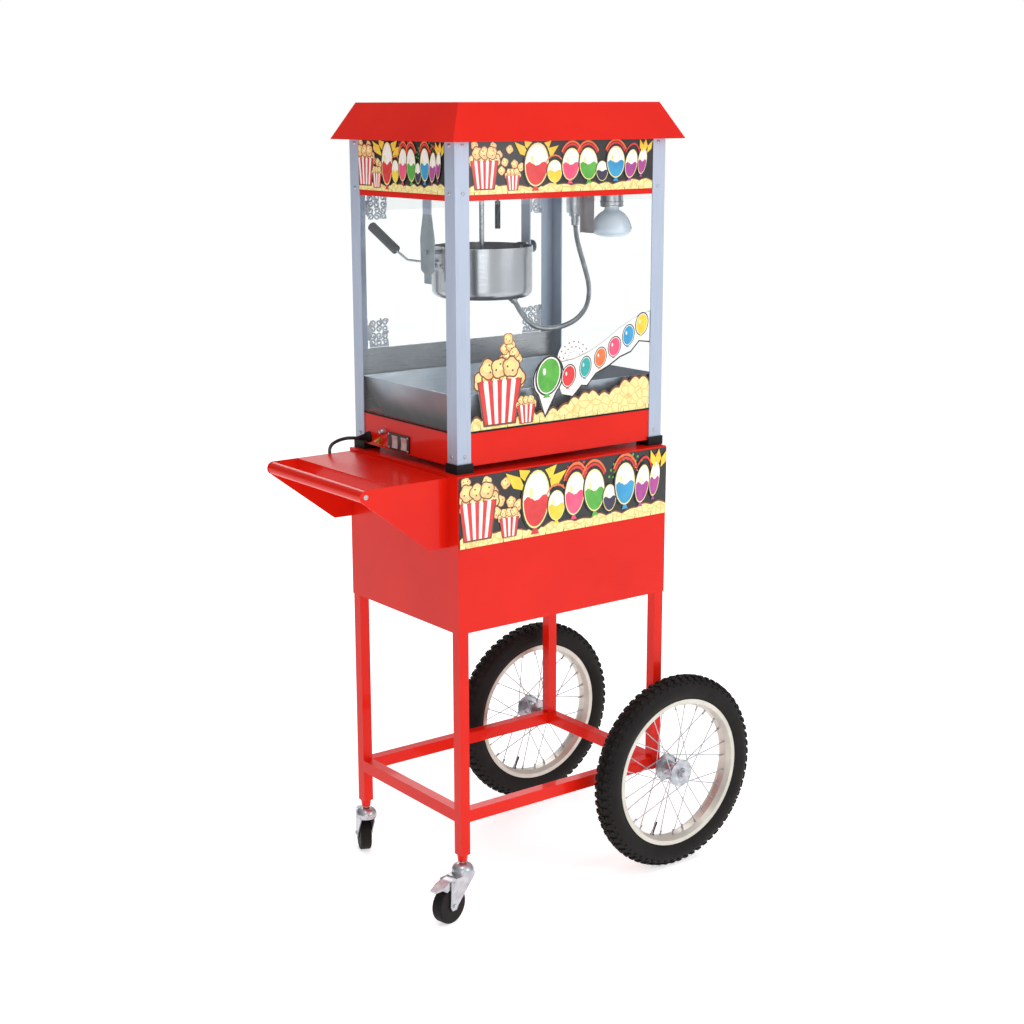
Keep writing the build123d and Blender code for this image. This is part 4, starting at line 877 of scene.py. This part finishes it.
def puff(board, cu, cv, size, chance):
    """One popped kernel with a thin brown edge, lit from above."""
    turn, lobes = chance.uniform(0, math.tau), chance.choice((4, 5))
    ru = size * board.aspect()

    def lobed(a):
        return 1 + 0.2 * abs(math.sin(lobes * (a + turn) / 2)) - 0.1

    board.fill(ring(cu, cv, ru * 1.16, size * 1.16, lobed), "brown")
    board.fill(ring(cu, cv, ru, size, lobed), "popcorn")
    board.fill(ring(cu - ru * 0.12, cv + size * 0.2, ru * 0.6, size * 0.5, lobed, 16), "cream")
    for k in range(2):
        a = turn + 2.2 * k
        board.fill(ring(cu + ru * 0.5 * math.cos(a), cv + size * 0.45 * math.sin(a), ru * 0.13, size * 0.13,
                        count=8), "brown")


def egg(a):
    return 1 + 0.1 * math.sin(a) - 0.05 * math.cos(2 * a)


def balloon(board, cu, cv, ru, rv, ink, lean=0.0, arcs=(), cap=True):
    """A balloon with a black edge, a pale rim, a bright body and a white cap."""
    for k, arc in enumerate(arcs):
        reach = 1.42 - 0.16 * k
        outer = ring(cu, cv, ru * reach, rv * reach, egg, 16, 0.7, 1.75, lean)
        inner = ring(cu, cv, ru * (reach - 0.12), rv * (reach - 0.12), egg, 16, 0.7, 1.75, lean)
        board.fill(outer + inner[::-1], arc)
    board.fill(ring(cu, cv, ru * 1.14, rv * 1.1, egg, lean=lean), "black")
    knot = [(cu - lean * ru - 0.3 * ru, cv - rv * 1.16), (cu - lean * ru + 0.3 * ru, cv - rv * 1.16),
            (cu - lean * ru * 0.9, cv - rv * 0.8)]
    board.fill(knot, ink)
    board.fill(ring(cu, cv, ru, rv, egg, lean=lean), "cream" if cap else "white")
    board.fill(ring(cu, cv, ru * 0.92, rv * 0.93, egg, lean=lean), ink)
    if cap:
        top = ring(cu, cv, ru * 0.92, rv * 0.93, egg, 18, 0.12, math.pi - 0.24, lean)
        wave = [(top[-1][0] + (top[0][0] - top[-1][0]) * t,
                 cv + rv * (0.14 + 0.1 * math.sin(9.4 * t))) for t in (0.15, 0.3, 0.45, 0.6, 0.75, 0.88)]
        board.fill(top + wave, "white")
    shine = ring(cu - ru * 0.38 + lean * ru * 0.3, cv + rv * 0.34, ru * 0.13, rv * 0.2, count=12)
    board.fill(shine, "cream" if cap else "white")


def sparks(board, cu, cv, size, turns):
    """Long yellow diamonds that fly outwards."""
    for turn in turns:
        du, dv = math.cos(turn) * board.aspect(), math.sin(turn)
        wu, wv = -math.sin(turn) * board.aspect(), math.cos(turn)
        near, far, wide = 0.5 * size, 1.6 * size, 0.22 * size
        board.fill([(cu + du * near, cv + dv * near),
                    (cu + du * size + wu * wide, cv + dv * size + wv * wide),
                    (cu + du * far, cv + dv * far),
                    (cu + du * size - wu * wide, cv + dv * size - wv * wide)], "yellow")


def burst(board, cu, cv, size, colours, rays=9, rows=4):
    """A firework: dots on rays over half a turn."""
    for row in range(rows):
        reach = size * (0.4 + 0.6 * row / (rows - 1))
        for k in range(rays):
            angle = math.pi * (0.06 + 0.88 * k / (rays - 1))
            dot = size * (0.022 + 0.012 * row)
            board.fill(ring(cu + math.cos(angle) * reach * board.aspect(), cv + math.sin(angle) * reach,
                            dot * board.aspect(), dot, count=8), colours[row % len(colours)])


def heap(board, levels, chance, lobes=13):
    """A heap of popcorn along the bottom; the levels are its height from left to right."""
    top = []
    for k in range(lobes * 6 + 1):
        u = k / (lobes * 6)
        place = u * (len(levels) - 1)
        i = min(int(place), len(levels) - 2)
        level = levels[i] + (levels[i + 1] - levels[i]) * (place - i)
        top.append((u, level + 0.035 * abs(math.sin(math.pi * u * lobes)) + 0.008 * math.sin(61 * u)))
    board.fill([(0, 0.0)] + [(u, v + 0.022) for u, v in top] + [(1, 0.0)], "brown")
    board.fill([(0, 0.0)] + top + [(1, 0.0)], "heap")
    for k in range(9):
        u = (k + chance.uniform(0.2, 0.8)) / 9
        tall = chance.uniform(0.05, 0.09)
        board.fill([(u, 0.0), (u + 0.004, 0.0), (u + 0.002, tall)], "brown")


def popcorn_box(board, cu, cv, size, chance, stripes=9):
    """A striped paper box, wider at the top, with puffs piled in it."""
    half_top, half_low = 0.62 * size * board.aspect(), 0.44 * size * board.aspect()
    tall, edge = size, 0.05 * size

    def corner(share, up):
        half = half_low + (half_top - half_low) * up
        return (cu + half * (2 * share - 1), cv + tall * (up - 0.5))

    for k in range(5):
        puff(board, cu + half_top * (0.5 * k - 1) * 0.8, cv + tall * (0.56 + 0.1 * (k % 2)), size * 0.24,
             chance)
    for k in range(3):
        puff(board, cu + half_top * (0.55 * k - 0.55), cv + tall * 0.84, size * 0.22, chance)
    grow = 1 + 2 * edge / tall
    foot_v, top_v = cv - tall * 0.5 - edge, cv + tall * 0.5 * grow
    board.fill([(cu - half_low * 1.1, foot_v), (cu + half_low * 1.1, foot_v),
                (cu + half_top * 1.08, top_v), (cu - half_top * 1.08, top_v)], "brown")
    for k in range(stripes):
        a, b = k / stripes, (k + 1) / stripes
        board.fill([corner(a, 0), corner(b, 0), corner(b, 1), corner(a, 1)], "white" if k % 2 else "red")
    for k in range(stripes):
        # the scalloped lip of the box
        lip = ring(*corner((k + 0.5) / stripes, 1), half_top / stripes, 0.07 * tall, count=12)
        board.fill(lip, "white" if k % 2 else "red")


# %% [markdown]
# One design serves all five boards: a box of popcorn at the left with puffs flying out of it,
# a row of seven balloons, and small fireworks behind them.

# %% The printed boards
HOT = ("orange", "red")


def print_board(name, corner, right, outward, width, height, with_fireworks=True):
    """The whole design on one board, from its lower corner and the way it runs and faces."""
    chance = random.Random(7)
    board = Board(corner, right, outward, width, height)
    if with_fireworks:
        burst(board, 0.555, 0.62, 0.36, ("red", "red", "orange"), rays=11)
        burst(board, 0.80, 0.62, 0.36, ("green", "cream", "green"), rays=11)
    for u, v in ((0.125, 0.9), (0.155, 0.74), (0.185, 0.6), (0.168, 0.44), (0.21, 0.84), (0.235, 0.56),
                 (0.27, 0.5), (0.03, 0.93)):
        puff(board, u, v, 0.075, chance)
    heap(board, (0.13, 0.16, 0.12, 0.1, 0.14, 0.1, 0.13, 0.1, 0.17, 0.15), chance)
    popcorn_box(board, 0.08, 0.36, 0.5, chance)
    popcorn_box(board, 0.225, 0.2, 0.26, chance, stripes=7)
    sparks(board, 0.345, 0.55, 0.42, (2.0, 2.45, 0.95, 0.55))
    balloon(board, 0.35, 0.5, 0.066, 0.4, "red", 0.08)
    balloon(board, 0.447, 0.38, 0.042, 0.21, "yellow", 0.0, HOT[:1])
    balloon(board, 0.535, 0.5, 0.05, 0.3, "pink", 0.1, HOT)
    balloon(board, 0.632, 0.5, 0.052, 0.3, "green", -0.05, HOT)
    balloon(board, 0.708, 0.36, 0.034, 0.19, "navy")
    balloon(board, 0.785, 0.52, 0.052, 0.3, "cyan", 0.0, HOT)
    balloon(board, 0.872, 0.48, 0.036, 0.27, "magenta", 0.25, HOT[1:])
    balloon(board, 0.936, 0.53, 0.026, 0.25, "magenta", 0.3, HOT[1:])
    sparks(board, 0.95, 0.6, 0.26, (1.9, 1.5, 1.05))
    board.done(name, "frame")


nodes["signs"].data.materials.clear()
nodes["signs"].data.materials.append(inks[0])
POST_SHARE = 32.0
SIGN_Z = (low("header_frame", 2) + 11, high("header_frame", 2))
SIGN_TALL = SIGN_Z[1] - SIGN_Z[0]
sign_x = (POST_X[0] + POST_SHARE, POST_X[1] - POST_SHARE)
sign_y = (POST_Y[0] + POST_SHARE, POST_Y[1] - POST_SHARE)
face = {"front": POST_Y[0] + 1, "back": POST_Y[1] - 1, "left": POST_X[0] + 1, "right": POST_X[1] - 1}
wide, deep = sign_x[1] - sign_x[0], sign_y[1] - sign_y[0]
headers = [
    ("front", at(sign_x[0], face["front"], SIGN_Z[0]), (1, 0, 0), (0, -1, 0), wide),
    ("back", at(sign_x[1], face["back"], SIGN_Z[0]), (-1, 0, 0), (0, 1, 0), wide),
    ("left", at(face["left"], sign_y[1], SIGN_Z[0]), (0, -1, 0), (-1, 0, 0), deep),
    ("right", at(face["right"], sign_y[0], SIGN_Z[0]), (0, 1, 0), (1, 0, 0), deep),
]
for word, corner, right, outward, width in headers:
    print_board(f"{word}_header_print", corner, right, outward, width, SIGN_TALL,
                with_fireworks=width == deep)
CART_SIGN_Z = (low("signs", 2), high("cart_top", 2) - 3)
cart_left, cart_right = low("cart_panels", 0) + 2, high("cart_panels", 0)
print_board("cart_print", at(cart_left, low("signs", 1), CART_SIGN_Z[0]), (1, 0, 0), (0, -1, 0),
            cart_right - cart_left, CART_SIGN_Z[1] - CART_SIGN_Z[0])

# %% [markdown]
# ## The picture on the front pane
# A transfer is stuck on the lower half of the front glass: the same heap, a tall striped box
# that pours popcorn upwards, one big green balloon and a string of smaller ones that rises to
# the right on a white band with a black edge. A transfer is backed with white, so every shape
# is laid a second time beneath the picture, facing the other way.

# %% Front pane transfer
pane_chance = random.Random(11)
PANE_LOW = low("front_glass", 2)
PANE_TALL = 220.0
pane = Board(at(sign_x[0], low("front_glass", 1), PANE_LOW), (1, 0, 0), (0, -1, 0), wide, PANE_TALL)


def pane_u(x):
    """Millimetres across the machine, as a share of the pane's width."""
    return (x - sign_x[0]) / wide


def pane_v(z):
    """Millimetres above the floor, as a share of the transfer's height."""
    return (z - PANE_LOW) / PANE_TALL


def pane_ring(x, z, rx, rz, **more):
    """A ring on the pane, given in millimetres."""
    return ring(pane_u(x), pane_v(z), rx / wide, rz / PANE_TALL, **more)


BURST_X, BURST_Z = 34, 1085
pane.fill(pane_ring(BURST_X, BURST_Z, 42, 44, start=0.0, sweep=math.pi), "white")
for row, (reach, dot, ink) in enumerate(((37, 1.9, "violet"), (27, 1.6, "navy"), (18, 1.2, "cyan"))):
    for k in range(9 - row):
        angle = math.pi * (0.08 + 0.84 * k / (8 - row))
        x, z = BURST_X + reach * math.cos(angle), BURST_Z + reach * math.sin(angle)
        pane.fill(pane_ring(x, z, dot, dot, count=10), ink)
heap(pane, [pane_v(z) for z in (984, 990, 984, 982, 986, 984, 992, 1008, 1014, 1004, 1022, 1032, 1026)],
     pane_chance, lobes=17)
stream = [(-140, 1100), (-128, 1108), (-116, 1092), (-134, 1122), (-120, 1126), (-108, 1076), (-104, 1100),
          (-126, 1140), (-98, 1056), (-112, 1112)]
for x, z in stream:
    puff(pane, pane_u(x), pane_v(z), 0.045, pane_chance)
popcorn_box(pane, pane_u(-147), pane_v(1020), 0.36, pane_chance)
popcorn_box(pane, pane_u(-84), pane_v(992), 0.15, pane_chance, stripes=7)
STRING = [(20, 1054, 17, 20, "red"), (62, 1068, 14, 19, "teal"), (100, 1084, 15, 18, "orange"),
          (136, 1102, 16, 18, "pink"), (172, 1122, 15, 19, "cyan"), (207, 1142, 16, 20, "yellow")]
band_low = [(-6, 1044), (4, 1022), (30, 1016), (52, 1036), (66, 1034), (88, 1056), (120, 1068), (150, 1084),
            (178, 1092), (200, 1112), (228, 1108)]
BAND_END = 229
band_high = [(228, 1168), (190, 1158), (150, 1140), (112, 1118), (74, 1100), (34, 1088), (-8, 1084)]
for grow, ink in ((3.0, "black"), (0.0, "white")):
    outline = [(pane_u(min(x + grow * 0.4, BAND_END)), pane_v(z - grow)) for x, z in band_low]
    outline += [(pane_u(min(x + grow * 0.4, BAND_END)), pane_v(z + grow * 0.3)) for x, z in band_high]
    pane.fill(outline, ink)
for grow, ink in ((5.0, "black"), (1.5, "white")):
    pane.fill(pane_ring(-30, 1058, 33 + grow, 36 + grow, lean=0.15), ink)
    tail = [(pane_u(-58 - grow), pane_v(1044)), (pane_u(-38), pane_v(988 - 2 * grow)),
            (pane_u(-4 + grow), pane_v(1044))]
    pane.fill(tail, ink)
for x, z, rx, rz, ink in STRING:
    balloon(pane, pane_u(x), pane_v(z), rx / wide, rz / PANE_TALL, ink, 0.15, cap=False)
balloon(pane, pane_u(-30), pane_v(1058), 30 / wide, 34 / PANE_TALL, "green", 0.15, cap=False)
pane.back_with("white")
pane.done("front_pane_print", "frame")

# %% [markdown]
# ## Kettle, lamp and small fittings
# Rivets hold the pivot ears to the pot, a black fluted knob clamps the pivot, and thin rubber
# strips seat the panes. The left hanger carries a heavier grey plate.

# %% Kettle rivets and knob
KETTLE_X = middle_of("kettle_pot", 0)
KETTLE_Y = -17.0
PIVOT_Z = high("kettle_pot", 2) - 9
KETTLE_R = 98.9
parts = []
rivet = [(0, 0), (4.2, 0), (4.2, 0.5), (3.4, 1.6), (1.8, 2.3), (0, 2.5)]
for sign, edge in ((-1, low("kettle_pot", 0)), (1, high("kettle_pot", 0))):
    for dy in (-9, 9):
        parts.append(spun(rivet, at(edge, KETTLE_Y + dy, PIVOT_Z - 27), (sign, 0, 0), steps=16))
for angle in (62, 118):
    ray = Vector((math.cos(math.radians(angle)), math.sin(math.radians(angle)), 0))
    parts.append(spun(rivet, at(KETTLE_X, KETTLE_Y, PIVOT_Z - 26) + ray * KETTLE_R * MM, ray, steps=16))
add_piece("kettle_rivets", gather(parts), zinc, "kettle")

KNOB_X = high("kettle_hangers", 0)
knob = spun([(0, 0.3), (11.5, 0.3), (12.6, 1.5), (12.6, 13), (10.8, 15.2), (5, 16), (0, 16)],
            at(KNOB_X - 15.8, KETTLE_Y, PIVOT_Z), (1, 0, 0), steps=48)
for v in knob.verts:
    spoke = Vector((0, v.co.y - KETTLE_Y * MM, v.co.z - PIVOT_Z * MM))
    if spoke.length > 11 * MM:
        v.co += spoke.normalized() * 0.5 * MM * math.cos(12 * math.atan2(spoke.y, spoke.z))
add_piece("pivot_clamp_knob", knob, black_plastic, "frame")

hanger_mesh = nodes["kettle_hangers"].data
hanger_mesh.materials.append(iron)
for polygon in hanger_mesh.polygons:
    middle = polygon.center / MM
    if middle.x < KETTLE_X and middle.z < 1369:
        polygon.material_index = 1

# %% [markdown]
# Rubber strips seat the three fixed panes on the base. The lamp hangs in a ribbed collar, and
# the metal hose comes out of a turned sleeve beside it. All are small turned or bevelled
# shapes, so the lathe and the block from above make them in a few lines.

# %% Glass seats, lamp holder and hose sleeve
seat_z = (PANE_LOW - 0.4, PANE_LOW + 3.2)
glass_x = (low("front_glass", 0), high("front_glass", 0))
glass_y = (low("front_glass", 1), high("front_glass", 1))
parts = [cushion_block((sign_x[0], sign_x[1]), (glass_y[0] - 1.2, glass_y[0] - 0.05), seat_z, 0.4, 1)]
for x in ((glass_x[0] - 1.2, glass_x[0] - 0.05), (glass_x[1] + 0.05, glass_x[1] + 1.2)):
    parts.append(cushion_block(x, (sign_y[0], sign_y[1]), seat_z, 0.4, 1))
add_piece("glass_seats", gather(parts), soft_rubber, "frame")

LAMP_X, LAMP_Y = middle_of("lamp_bulb", 0), middle_of("lamp_bulb", 1)
collar = [(0, 0.2), (15, 0.2), (15.4, 1), (24.2, 2), (24.6, 3.2), (23, 4), (23, 9), (24, 9.6), (24, 11)]
collar += [(22.6, 12), (22.6, 30), (24, 31), (24, 33), (22.2, 34), (0, 34)]
CEILING = low("ceiling_plate", 2)
SLEEVE = (1359.0, CEILING - 0.1)
sleeve = [(8.4, SLEEVE[0] - 8), (12, SLEEVE[0] - 7), (12.6, SLEEVE[0] - 1), (17, SLEEVE[0])]
sleeve += [(17.6, SLEEVE[0] + 1), (17.6, SLEEVE[1]), (17.1, SLEEVE[1]), (8.4, SLEEVE[0] - 8)]
sleeve_foot = at(conduit_route[0][0], conduit_route[0][1], 0)
add_piece("hose_sleeve", spun(sleeve, sleeve_foot), zinc, "frame")
add_piece("lamp_holder", spun(collar, at(LAMP_X, LAMP_Y, high("lamp_bulb", 2) - 0.1)), zinc, "frame")

# %% [markdown]
# A folded sheet hangs from the ceiling beside the lamp and keeps its glare off the kettle. The
# sheet has a foot along the ceiling and a narrow lip down one edge, so three thin bevelled
# blocks that overlap at their folds are enough.

# %% Lamp shield
SHIELD_X = low("lamp_bulb", 0) - 4.5
SHIELD_Y = (LAMP_Y + 1.0, LAMP_Y + 38.5)
SHIELD_LOW = 1321.0
shield = cushion_block((SHIELD_X, SHIELD_X + 1.5), SHIELD_Y, (SHIELD_LOW, CEILING - 0.05), 0.6, 1)
foot = cushion_block((SHIELD_X - 16, SHIELD_X + 1.4), SHIELD_Y, (CEILING - 1.6, CEILING - 0.05), 0.6, 1)
lip = cushion_block((SHIELD_X - 6, SHIELD_X + 1.4), (SHIELD_Y[1] - 1.5, SHIELD_Y[1]),
                    (SHIELD_LOW + 0.05, CEILING - 0.1), 0.6, 1)
shield_steel = surface("smoked_steel", (172, 164, 168), (148, 141, 146), (0.4, 0.55), metal=0.5, cloud=25,
                       grain=700, relief=0.2)
add_piece("lamp_shield", gather([shield, foot, lip]), shield_steel, "frame")

# %% [markdown]
# Beside the switches the panel carries a stepped fuse cap and a brass earth stud with its nut
# and washer. The stud's thread is a profile that goes in and out, turned like the rest.

# %% Fuse holder and earth stud
FUSE, EARTH = at(PANEL_X, 84, 939), at(PANEL_X, 99, 918)
OUT_OF_PANEL = (1, 0, 0)
parts = []
fuse = [(0, 0), (6.4, 0), (6.4, -1.5), (5.2, -2), (5.2, -8), (4.4, -9), (4.4, -11.4), (3.4, -12), (0, -12)]
parts.append(spun(fuse, FUSE, OUT_OF_PANEL, steps=18, finish=0))
washer = [(0, 0), (7.6, 0), (7.6, -1), (0, -1)]
parts.append(spun(washer, EARTH, OUT_OF_PANEL, steps=24, finish=1))
stud_nut = [(0, -1), (6.4, -1), (6.6, -2), (6.6, -4.6), (5.6, -5.4), (0, -5.4)]
parts.append(spun(stud_nut, EARTH, OUT_OF_PANEL, steps=6, finish=1))
stud = [(0, -5), (3, -5)]
for k in range(7):
    stud += [(3.0, -5.4 - k), (2.5, -5.9 - k)]
stud += [(2.4, -12.6), (0, -13)]
parts.append(spun(stud, EARTH, OUT_OF_PANEL, steps=16, finish=1))
add_piece("fuse_and_earth_stud", gather(parts), [zinc, brass], "frame", ["panel_terminals"])

# %% [markdown]
# ## Floor and light
# A pale seamless floor that glows a little stays white to the horizon, so the machine stands
# alone in the picture.

# %% Floor
floor_finish, floor_tree, floor_shader = new_finish("studio_floor")
floor_shade = between(floor_tree, pattern(floor_tree, 1.5), 0.0, 1.0)
floor_tone = blend_colours(floor_tree, floor_shade, tint(246, 246, 247), tint(250, 250, 250))
floor_tree.links.new(floor_tone, floor_shader.inputs["Base Color"])
floor_tree.links.new(floor_tone, floor_shader.inputs["Emission Color"])
floor_shader.inputs["Emission Strength"].default_value = 0.56
floor_shader.inputs["Roughness"].default_value = 0.9
floor_shader.inputs["Specular IOR Level"].default_value = 0.1
floor_bm = bmesh.new()
bmesh.ops.create_grid(floor_bm, x_segments=1, y_segments=1, size=20.0)
floor_mesh = bpy.data.meshes.new("studio_floor")
floor_bm.to_mesh(floor_mesh)
floor_bm.free()
floor_mesh.materials.append(floor_finish)
floor = bpy.data.objects.new("studio_floor", floor_mesh)
bpy.context.scene.collection.objects.link(floor)

# %% [markdown]
# A large soft lamp in front makes the front panels the brightest and leaves the sides a step
# darker. A second stands at the front left, a third hangs overhead, a faint narrow strip
# stands on the left, and a last one fills the back. The sky is brighter above and to the
# front right, but the camera sees it as plain white.


# %% Lights
def soft_lamp(name, place, target, size, power):
    """A rectangular lamp that faces a target."""
    data = bpy.data.lights.new(name, "AREA")
    data.shape = "RECTANGLE"
    data.size, data.size_y = size
    data.energy = power
    lamp = bpy.data.objects.new(name, data)
    lamp.location = place
    lamp.rotation_euler = (Vector(target) - Vector(place)).to_track_quat("-Z", "Y").to_euler()
    bpy.context.scene.collection.objects.link(lamp)


soft_lamp("front_softbox", (1.4, -3.6, 2.2), (0.0, 0.0, 0.9), (2.2, 2.2), 35)
soft_lamp("near_softbox", (-2.6, -3.5, 1.5), (0.0, 0.0, 1.1), (2.2, 1.4), 20)
soft_lamp("top_left_softbox", (-0.9, -0.5, 4.0), (-0.2, 0.0, 1.0), (1.4, 1.4), 24)
soft_lamp("left_strip", (-3.4, 0.6, 2.2), (0.0, 0.0, 1.0), (0.5, 2.6), 2)
soft_lamp("back_fill", (1.6, 3.4, 2.8), (0.0, 0.0, 0.9), (2.4, 2.0), 42)
world = bpy.data.worlds.new("bright_room")
world.use_nodes = True
sky = world.node_tree
sky_place = sky.nodes.new("ShaderNodeTexCoord")
sky_slope = sky.nodes.new("ShaderNodeVectorMath")
sky_slope.operation = "DOT_PRODUCT"
sky_slope.inputs[1].default_value = (0.42, -0.5, 0.75)
sky.links.new(sky_place.outputs["Generated"], sky_slope.inputs[0])
sky_light = between(sky, sky_slope.outputs["Value"], 0.1, 0.75, -0.6, 0.8)
sky_seen = sky.nodes.new("ShaderNodeLightPath")
sky_tone = blend_colours(sky, sky_seen.outputs["Is Camera Ray"], sky_light, (1.0, 1.0, 1.0, 1))
sky.links.new(sky_tone, sky.nodes["Background"].inputs["Color"])
bpy.context.scene.world = world
bpy.context.scene.view_settings.view_transform = "Standard"
